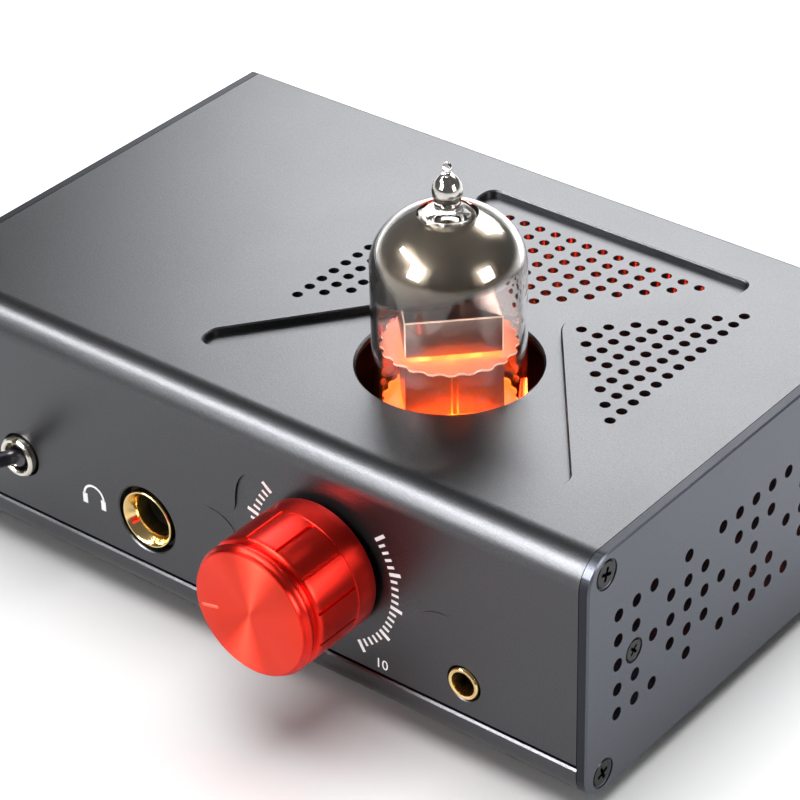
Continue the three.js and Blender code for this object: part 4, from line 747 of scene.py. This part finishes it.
# ---- Headphone mark ----
# A printed headband with two ear cups stands beside the large jack.
MARK_X, MARK_Z, MARK_BAND, MARK_THICK = -26.2, 16.6, 1.9, 0.36
CUP_WIDE, CUP_HIGH, CUP_IN, CUP_DROP = 0.9, 1.7, 0.1, 0.75
band = arc(0, 0, MARK_BAND + MARK_THICK / 2, math.pi, 0, 20)
band += arc(0, 0, MARK_BAND - MARK_THICK / 2, 0, math.pi, 20)
mark = loft([[(MARK_X + x, y, MARK_Z + z) for x, z in band] for y in (FRONT, FRONT - INK)])
for side in (-1, 1):
    cup = bmesh.ops.create_cube(mark, size=1)["verts"]
    bmesh.ops.scale(mark, vec=(CUP_WIDE, INK, CUP_HIGH), verts=cup)
    cup_place = (MARK_X + side * (MARK_BAND - CUP_IN), FRONT - INK / 2, MARK_Z - CUP_DROP)
    bmesh.ops.translate(mark, vec=cup_place, verts=cup)
mark = as_piece("headphone_mark", mark, white_ink)
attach(mark, "case")

# ---- Headphone jack ----
# A gilt brass ferrule with a flared mouth is screwed into the black nose of the jack.
POLISHED = {"spread": 0.06, "grain": 4, "bump": 0.05, "depth": 0.004, "rough_spread": 0.06}
gold = finish("gilt", (0.81, 0.60, 0.27), 0.16, 1.0, **POLISHED)
jack_black = finish("jack_plastic", (0.012, 0.012, 0.012), 0.5, 0.0, spread=0.3, grain=5, bump=0.25)
ferrule = [
    (3.3, 1.8), (3.4, 1.5), (3.65, 1.05), (4.0, 0.5), (4.22, 0.12), (4.35, 0), (4.5, 0),
    (4.6, 0.1), (4.62, 0.3), (4.62, 1.8), (3.9, 1.8), (3.9, 4), (3.3, 4), (3.3, 1.8),
]
form = turned([(r, FRONT + d) for r, d in ferrule], 96, (PHONE_X, 0, PHONE_Z), "Y")
ring = as_piece("headphone_ferrule", form, gold, 40)
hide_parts("phone_jack_ring")
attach(ring, "case")

# ---- Microphone jack ----
# The small jack has a thin gilt ring pressed round its bore, proud of the panel.
small = [(1.8, 0.2), (1.9, -0.2), (2.1, -0.3), (2.35, -0.28), (2.5, -0.1), (2.5, 2.2), (1.8, 2.2), (1.8, 0.2)]
form = turned([(r, FRONT + d) for r, d in small], 72, (MIC_X, 0, MIC_Z), "Y")
ring = as_piece("microphone_ferrule", form, gold, 40)
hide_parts("mic_jack_ring")
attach(ring, "case")

# ---- Toggle switch ----
# The nickel bushing carries a keyway and holds the steel lever on its ball. It stands on
# the switch's tinned steel frame, which is clamped behind the panel.
LEVER_TILT, LEVER_REACH = math.radians(18), 10.5
nickel = finish("nickel", (0.60, 0.57, 0.50), 0.22, 1.0, spread=0.08, grain=4, bump=0.08)
dark_steel = finish("dark_steel", (0.13, 0.13, 0.15), 0.25, 1.0, spread=0.1, grain=4, bump=0.08)
collar = [(2.3, 0.4), (2.35, -1.0), (2.55, -1.2), (2.95, -1.2)]
collar += [(3.2, -0.95), (3.2, 2.6), (2.3, 2.6), (2.3, 0.4)]
KEY_WIDE, KEY_LONG, KEY_BACK, KEY_UP = 0.9, 1.2, 1.0, 3.2
SWITCH_WIDE, SWITCH_FROM, SWITCH_DEEP, SWITCH_EDGE = 8, 2.5, 9, 0.4
SWITCH_FOOT, SWITCH_HEAD = 10.8, 22.2
form = turned([(r, FRONT + d) for r, d in collar], 72, (TOGGLE_X, 0, TOGGLE_Z), "Y")
frame_box = bmesh.ops.create_cube(form, size=1)["verts"]
bmesh.ops.scale(form, vec=(SWITCH_WIDE, SWITCH_DEEP, SWITCH_HEAD - SWITCH_FOOT), verts=frame_box)
box_middle = (TOGGLE_X, FRONT + SWITCH_FROM + SWITCH_DEEP / 2, (SWITCH_HEAD + SWITCH_FOOT) / 2)
bmesh.ops.translate(form, vec=box_middle, verts=frame_box)
box_edges = list({edge for vert in frame_box for edge in vert.link_edges})
bmesh.ops.bevel(form, geom=box_edges, offset=SWITCH_EDGE, segments=3, profile=0.5, affect="EDGES")
bushing = as_piece("toggle_bushing", form, nickel, 40)
key = bmesh.new()
bmesh.ops.create_cube(key, size=1)
bmesh.ops.scale(key, vec=(KEY_WIDE, KEY_LONG, KEY_LONG), verts=key.verts)
bmesh.ops.translate(key, vec=(TOGGLE_X, FRONT - KEY_BACK, TOGGLE_Z + KEY_UP), verts=key.verts)
cut_away(bushing, [cutter(key)])
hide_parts("toggle_body")
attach(bushing, "case")
stick = [(0, 1.9), (0.8, 1.72), (1.45, 1.22), (1.82, 0.5), (1.88, -0.2), (1.6, -1.0), (1.2, -1.5)]
stick += [(1.15, -3), (1.25, -6), (1.3, -9.3), (1.22, -9.9), (0.95, -10.3), (0.5, -10.47), (0, -LEVER_REACH)]
form = turned(stick, 48, (0, 0, 0), "Y")
bmesh.ops.rotate(form, cent=(0, 0, 0), matrix=Matrix.Rotation(-LEVER_TILT, 3, "X"), verts=form.verts)
bmesh.ops.translate(form, vec=(TOGGLE_X, FRONT, TOGGLE_Z), verts=form.verts)
lever = as_piece("toggle_stick", form, dark_steel, 40)
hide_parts("toggle_lever")
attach(lever, "switch_lever")

# ---- Tube glass ----
# The nine-pin miniature tube is drawn from clear glass, with a pressed stem below and the
# melted tip that it was pumped out through on top.
SEAT, SHOULDER, GLASS_RADIUS, GLASS_WALL, DOME = 25.6, 57.2, 11.0, 0.9, 8.8
BORE, VAULT, GLASS_FOOT, GLASS_MIDDLE = GLASS_RADIUS - GLASS_WALL, DOME - GLASS_WALL, SEAT + 2.3, SEAT + 12
DOME_FULLNESS = 2.0
clear_glass = bpy.data.materials.new("clear_glass")
clear_glass.use_nodes = True
glass_shader = clear_glass.node_tree.nodes["Principled BSDF"]
glass_shader.inputs["Base Color"].default_value = (1, 0.99, 0.97, 1)
glass_shader.inputs["Roughness"].default_value = 0.015
glass_shader.inputs["Transmission Weight"].default_value = 1.0
glass_shader.inputs["IOR"].default_value = 1.45
glass_coords = clear_glass.node_tree.nodes.new("ShaderNodeTexCoord")
ripple = clear_glass.node_tree.nodes.new("ShaderNodeTexNoise")
ripple.inputs["Scale"].default_value = 120
ripple_bump = clear_glass.node_tree.nodes.new("ShaderNodeBump")
ripple_bump.inputs["Strength"].default_value = 0.12
ripple_bump.inputs["Distance"].default_value = 0.0002
clear_glass.node_tree.links.new(glass_coords.outputs["Object"], ripple.inputs["Vector"])
clear_glass.node_tree.links.new(ripple.outputs["Fac"], ripple_bump.inputs["Height"])
clear_glass.node_tree.links.new(ripple_bump.outputs["Normal"], glass_shader.inputs["Normal"])


def dome_profile(radius, rise, stop):
    power = 2 / DOME_FULLNESS
    last = math.acos((stop / radius) ** (1 / power))
    turns = [last * i / 32 for i in range(33)]
    return [(radius * math.cos(a) ** power, SHOULDER + rise * math.sin(a) ** power) for a in turns]


# Radius and height: the wall, the dome, the tip's foot, the tip and its bead, then the inside.
outer = [(GLASS_RADIUS, z) for z in (GLASS_FOOT, GLASS_MIDDLE, SHOULDER - 6, SHOULDER - 1)]
outer += dome_profile(GLASS_RADIUS, DOME, 4.3)
outer += [(4.15, 65.1), (3.9, 64.95), (3.6, 65.2), (3.2, 65.7), (2.5, 66.1), (2.0, 66.45)]
outer += [(1.75, 66.9), (1.9, 67.5), (2.1, 68.3), (2.15, 69.0), (2.0, 69.7), (1.6, 70.5), (1.1, 71.1)]
outer += [(0.62, 71.6), (0.45, 71.8), (0.5, 72.0), (0.68, 72.25), (0.72, 72.5), (0.66, 72.8), (0.42, 73.1)]
outer.append((0, 73.22))
inner = [(0, 65.05)] + dome_profile(BORE, VAULT, 0.3)[::-1]
inner += [(BORE, GLASS_MIDDLE), (BORE, GLASS_FOOT), (GLASS_RADIUS, GLASS_FOOT)]
glass = as_piece("tube_envelope", turned(outer + inner, 96, (TUBE_X, TUBE_Y, 0)), clear_glass, 60)
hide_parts("tube_glass")
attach(glass, "tube")

# ---- Getter mirror ----
# The flashed getter lies on the inside of the dome as a brownish silver mirror. It thins
# out at its lower edge, which hangs lower at the left than at the right. Its colour darkens towards that
# edge: partly the thinner film, partly painted shade in place of dark surroundings in its reflection.
MIRROR_GAP, MIRROR_COAT, MIRROR_EDGE, MIRROR_SLOPE, MIRROR_FADE = 0.08, 0.1, 54.9, 0.32, 1.1
mirror = bpy.data.materials.new("getter_mirror")
mirror.use_nodes = True
shader = mirror.node_tree.nodes["Principled BSDF"]
shader.inputs["Metallic"].default_value = 1
shader.inputs["Roughness"].default_value = 0.28
tree = mirror.node_tree
where = tree.nodes.new("ShaderNodeTexCoord")
level = tree.nodes.new("ShaderNodeVectorMath")
level.operation = "DOT_PRODUCT"
level.inputs[1].default_value = (-MIRROR_SLOPE, 0, 1)
wander = tree.nodes.new("ShaderNodeTexNoise")
wander.inputs["Scale"].default_value = 260
wobble = tree.nodes.new("ShaderNodeMath")
wobble.operation = "MULTIPLY_ADD"
wobble.inputs[1].default_value = 0.0008
fade = tree.nodes.new("ShaderNodeMapRange")
edge = MIRROR_EDGE - MIRROR_SLOPE * TUBE_X
fade.inputs["From Min"].default_value = edge * MM
fade.inputs["From Max"].default_value = (edge + MIRROR_FADE) * MM
tree.links.new(where.outputs["Object"], level.inputs[0])
tree.links.new(where.outputs["Object"], wander.inputs["Vector"])
tree.links.new(wander.outputs["Fac"], wobble.inputs[0])
tree.links.new(level.outputs["Value"], wobble.inputs[2])
tree.links.new(wobble.outputs[0], fade.inputs["Value"])
tree.links.new(fade.outputs["Result"], shader.inputs["Alpha"])
# Darker towards the lower edge: partly the thin film, partly painted shade.
film_and_shade_ramp = tree.nodes.new("ShaderNodeMapRange")
film_and_shade_ramp.inputs["From Min"].default_value = (edge + 1) * MM
film_and_shade_ramp.inputs["From Max"].default_value = (edge + 8) * MM
tree.links.new(wobble.outputs[0], film_and_shade_ramp.inputs["Value"])
film_colour_and_shade = tree.nodes.new("ShaderNodeMix")
film_colour_and_shade.data_type = "RGBA"
film_colour_and_shade.inputs["A"].default_value = (0.055, 0.040, 0.028, 1)
film_colour_and_shade.inputs["B"].default_value = (0.36, 0.31, 0.25, 1)
tree.links.new(film_and_shade_ramp.outputs["Result"], film_colour_and_shade.inputs["Factor"])
tree.links.new(film_colour_and_shade.outputs["Result"], shader.inputs["Base Color"])
film_radius, film_rise = BORE - MIRROR_GAP, VAULT - MIRROR_GAP
film = [(film_radius, z) for z in (50.5, 53, 56)]
film += dome_profile(film_radius, film_rise, 0.4) + [(0, SHOULDER + film_rise)]
coat = [(max(0, r - MIRROR_COAT), z - (MIRROR_COAT if z > SHOULDER else 0)) for r, z in reversed(film)]
getter = as_piece("getter_flash", turned(film + coat + [film[0]], 96, (TUBE_X, TUBE_Y, 0)), mirror, 60)
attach(getter, "tube")
tip_silver = finish(
    "tip_silver", (0.55, 0.53, 0.50), 0.1, 1.0,
    spread=0.05, grain=3, bump=0.03, depth=0.003, rough_spread=0.03,
)
drop = [(0, 66.7), (1.45, 66.85), (1.7, 67.5), (1.95, 68.3), (2.02, 69.0)]
drop += [(1.88, 69.7), (1.48, 70.45), (0.98, 71.0), (0.4, 71.5), (0, 71.55)]
drop = as_piece("tip_mirror", turned(drop, 48, (TUBE_X, TUBE_Y, 0)), tip_silver, 60)
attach(drop, "tube")

# ---- Micas ----
# Two punched mica discs brace the electrodes. Their saw-toothed rims grip the glass, and
# the lower one is lit by the lamp under it; emission paints extra glow into them: strong orange on the lower
# disc, faint on the upper one and on the cut edges.
MICA_RADIUS, MICA_TOOTH, MICA_TEETH, MICA_THICK = 9.75, 0.45, 22, 0.35
# Painted glow: a faint orange emission on the upper disc.
mica = finish(
    "mica_sheet_faint_painted_glow", (0.80, 0.52, 0.42), 0.3, spread=0.12, grain=2, bump=0.2,
    Alpha=0.5, Emission_Color=(1.0, 0.20, 0.05, 1), Emission_Strength=0.04,
)
# Painted glow: a strong orange emission on the disc over the lamp.
mica_painted_glow = finish(
    "mica_painted_lamp_glow", (0.85, 0.35, 0.12), 0.3, spread=0.2, grain=1, bump=0.2,
    Alpha=0.7, Emission_Color=(1.0, 0.17, 0.008, 1), Emission_Strength=0.9,
)
# Painted glow on the cut edges, also used for the shield's lit edges.
edge_painted_glow = finish(
    "painted_glowing_edge", (0.9, 0.72, 0.62), 0.4, spread=0.1, grain=2,
    Emission_Color=(1.0, 0.45, 0.25, 1), Emission_Strength=0.22,
)
for name, z, surface in (("tube_lower_mica", 35.4, mica_painted_glow), ("tube_upper_mica", 45.3, mica)):
    rim = []
    for i in range(4 * MICA_TEETH):
        a = 2 * math.pi * i / (4 * MICA_TEETH)
        r = MICA_RADIUS - (MICA_TOOTH if i % 4 in (1, 2) else 0)
        rim.append((TUBE_X + r * math.cos(a), TUBE_Y + r * math.sin(a)))
    faces = [[(x, y, z + side * MICA_THICK / 2) for x, y in rim] for side in (-1, 1)]
    disc = as_piece(f"{name}_toothed", loft(faces), surface)
    disc.data.materials.append(edge_painted_glow)
    for polygon in disc.data.polygons:
        polygon.material_index = 1 if abs(polygon.normal.z) < 0.5 else 0
    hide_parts(name)
    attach(disc, "tube")

# ---- Upper shield ----
# A box of thin nickel sheet stands on the upper mica. It is folded from one strip, so its
# corners are slightly round; its top edges, foot and corner bends get a painted glowing highlight.
SHIELD_LONG, SHIELD_WIDE, SHIELD_FOOT, SHIELD_HEAD = 13.5, 10.5, 46.0, 51.6
SHIELD_SHEET, SHIELD_FOLD = 0.3, 0.3
SHIELD_COLOUR = (0.40, 0.27, 0.24)
shield_nickel = finish("shield_nickel", SHIELD_COLOUR, 0.3, 1.0, spread=0.1, grain=1.5, bump=0.35, depth=0.08)
signs = ((1, 1), (-1, 1), (-1, -1), (1, -1))
fold = rounded_corners([(x * SHIELD_LONG / 2, y * SHIELD_WIDE / 2, SHIELD_FOLD) for x, y in signs], 6)
quarter = math.sqrt(0.5)
levels = [(0, SHIELD_FOOT), (0, SHIELD_HEAD - 0.2), (-0.06, SHIELD_HEAD - 0.06), (-0.2, SHIELD_HEAD)]
shield_form = loft([
    [(TUBE_X + quarter * (x - y), TUBE_Y + quarter * (x + y), z) for x, y in grown(fold, wide)]
    for wide, z in levels
])
caps = [face for face in shield_form.faces if len(face.verts) > 4]
open_foot = [face for face in caps if face.calc_center_median().z < SHIELD_FOOT + 0.1]
bmesh.ops.delete(shield_form, geom=open_foot, context="FACES_ONLY")
bmesh.ops.recalc_face_normals(shield_form, faces=shield_form.faces)
bmesh.ops.solidify(shield_form, geom=shield_form.faces[:], thickness=SHIELD_SHEET)
shield = as_piece("tube_shield_folded", shield_form, shield_nickel)
# Painted highlight: the top edges, foot and corner bends get the glowing edge finish.
shield.data.materials.append(edge_painted_glow)
for polygon in shield.data.polygons:
    z = polygon.center.z / MM
    corner = abs(polygon.normal.z) < 0.5 and 0.2 < abs(abs(polygon.normal.x) - abs(polygon.normal.y)) < 0.98
    painted_highlight = z > SHIELD_HEAD - 0.19 and polygon.area < 1e-5 or z < SHIELD_FOOT + 0.05 or corner
    polygon.material_index = 1 if painted_highlight else 0
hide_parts("tube_upper_shield")
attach(shield, "tube")

# ---- Carried-over parts ----
# The electrodes, board, sockets and rear connectors keep their CAD shapes and get their
# real finishes: pressed nickel sheet, mica, ceramic, fibreglass, moulded plastic, gilt.
LAMP_LIGHT, HOT_LIGHT = (1.0, 0.26, 0.03, 1), (1.0, 0.33, 0.06, 1)
NICKEL_DARK = (0.42, 0.36, 0.34)
orange = finish("lamp_orange", (1.0, 0.35, 0.05), 0.4, Emission_Color=LAMP_LIGHT, Emission_Strength=14.0)
cathode_glow = finish("cathode_glow", (0.9, 0.3, 0.1), 0.4, Emission_Color=HOT_LIGHT, Emission_Strength=6.0)
electrode = finish("electrode_nickel", NICKEL_DARK, 0.32, 0.9, spread=0.12, grain=2, bump=0.3, depth=0.05)
bright_steel = finish("bright_steel", (0.5, 0.5, 0.51), 0.3, 1.0, spread=0.1)
BLACK_MOULDED = ("phone_jack_body", "mic_jack_body", "rca_block", "dc_jack")
BLACK_MOULDED += ("headphone_amp_chip", "heater_regulator")
CARRIED = (
    (orange, ("tube_lamp",)),
    (cathode_glow, ("tube_cathode_left", "tube_cathode_right")),
    (electrode, ("tube_anode_left", "tube_anode_right", "tube_divider", "tube_getter")),
    (clear_glass, ("tube_stem",)),
    (finish("ceramic", (0.78, 0.74, 0.66), 0.45, 0.0, spread=0.05, grain=3), ("tube_socket",)),
    (finish("board_black", (0.010, 0.012, 0.012), 0.4, 0.0, spread=0.3, grain=2), ("circuit_board",)),
    (jack_black, BLACK_MOULDED),
    (nickel, ("pot_nut",)),
    (bright_steel, ("pot_shaft", "pot_body", "board_rail_left", "board_rail_right")),
    (black_steel, ("knob_set_screw",)),
    (gold, ("rca_barrel_left", "rca_barrel_right")),
    (finish("white_insert", (0.75, 0.75, 0.73), 0.45, 0.0, spread=0.05), ("rca_insert_left",)),
    (finish("red_insert", (0.45, 0.02, 0.02), 0.45, 0.0, spread=0.1), ("rca_insert_right",)),
    (finish("can_sleeve", (0.02, 0.025, 0.035), 0.4, 0.0), ("filter_capacitor_1", "filter_capacitor_2")),
    (finish("film_red", (0.27, 0.02, 0.015), 0.35, 0.0), ("coupling_capacitor",)),
    (finish("black_aluminium", (0.02, 0.02, 0.022), 0.45, 0.9), ("heat_sink",)),
)
for material, names in CARRIED:
    for name in names:
        mesh = nodes[name].data
        if not mesh.materials:
            mesh.materials.append(material)
        for i in range(len(mesh.materials)):
            mesh.materials[i] = material

# ---- Glow ----
# The lamp under the tube lights the seat, and some of its light reaches the rear vents.
GLOWS = (
    ("tube_glow", (TUBE_X, TUBE_Y, 31.5), 1.2, 1.35, (1.0, 0.13, 0.01)),
    ("anode_glow", (TUBE_X + 3, TUBE_Y - 3.2, 46.2), 0.4, 0.05, (1.0, 0.2, 0.02)),
    ("vent_glow", (TUBE_X + 6, 15.0, 25.0), 3.0, 0.05, (1.0, 0.03, 0.005)),
)
for name, place, radius, watts, colour in GLOWS:
    lamp = bpy.data.lights.new(name, "POINT")
    lamp.energy, lamp.color, lamp.shadow_soft_size = watts, colour, radius * MM
    glow = bpy.data.objects.new(name, lamp)
    bpy.context.scene.collection.objects.link(glow)
    glow.location = Vector(place) * MM
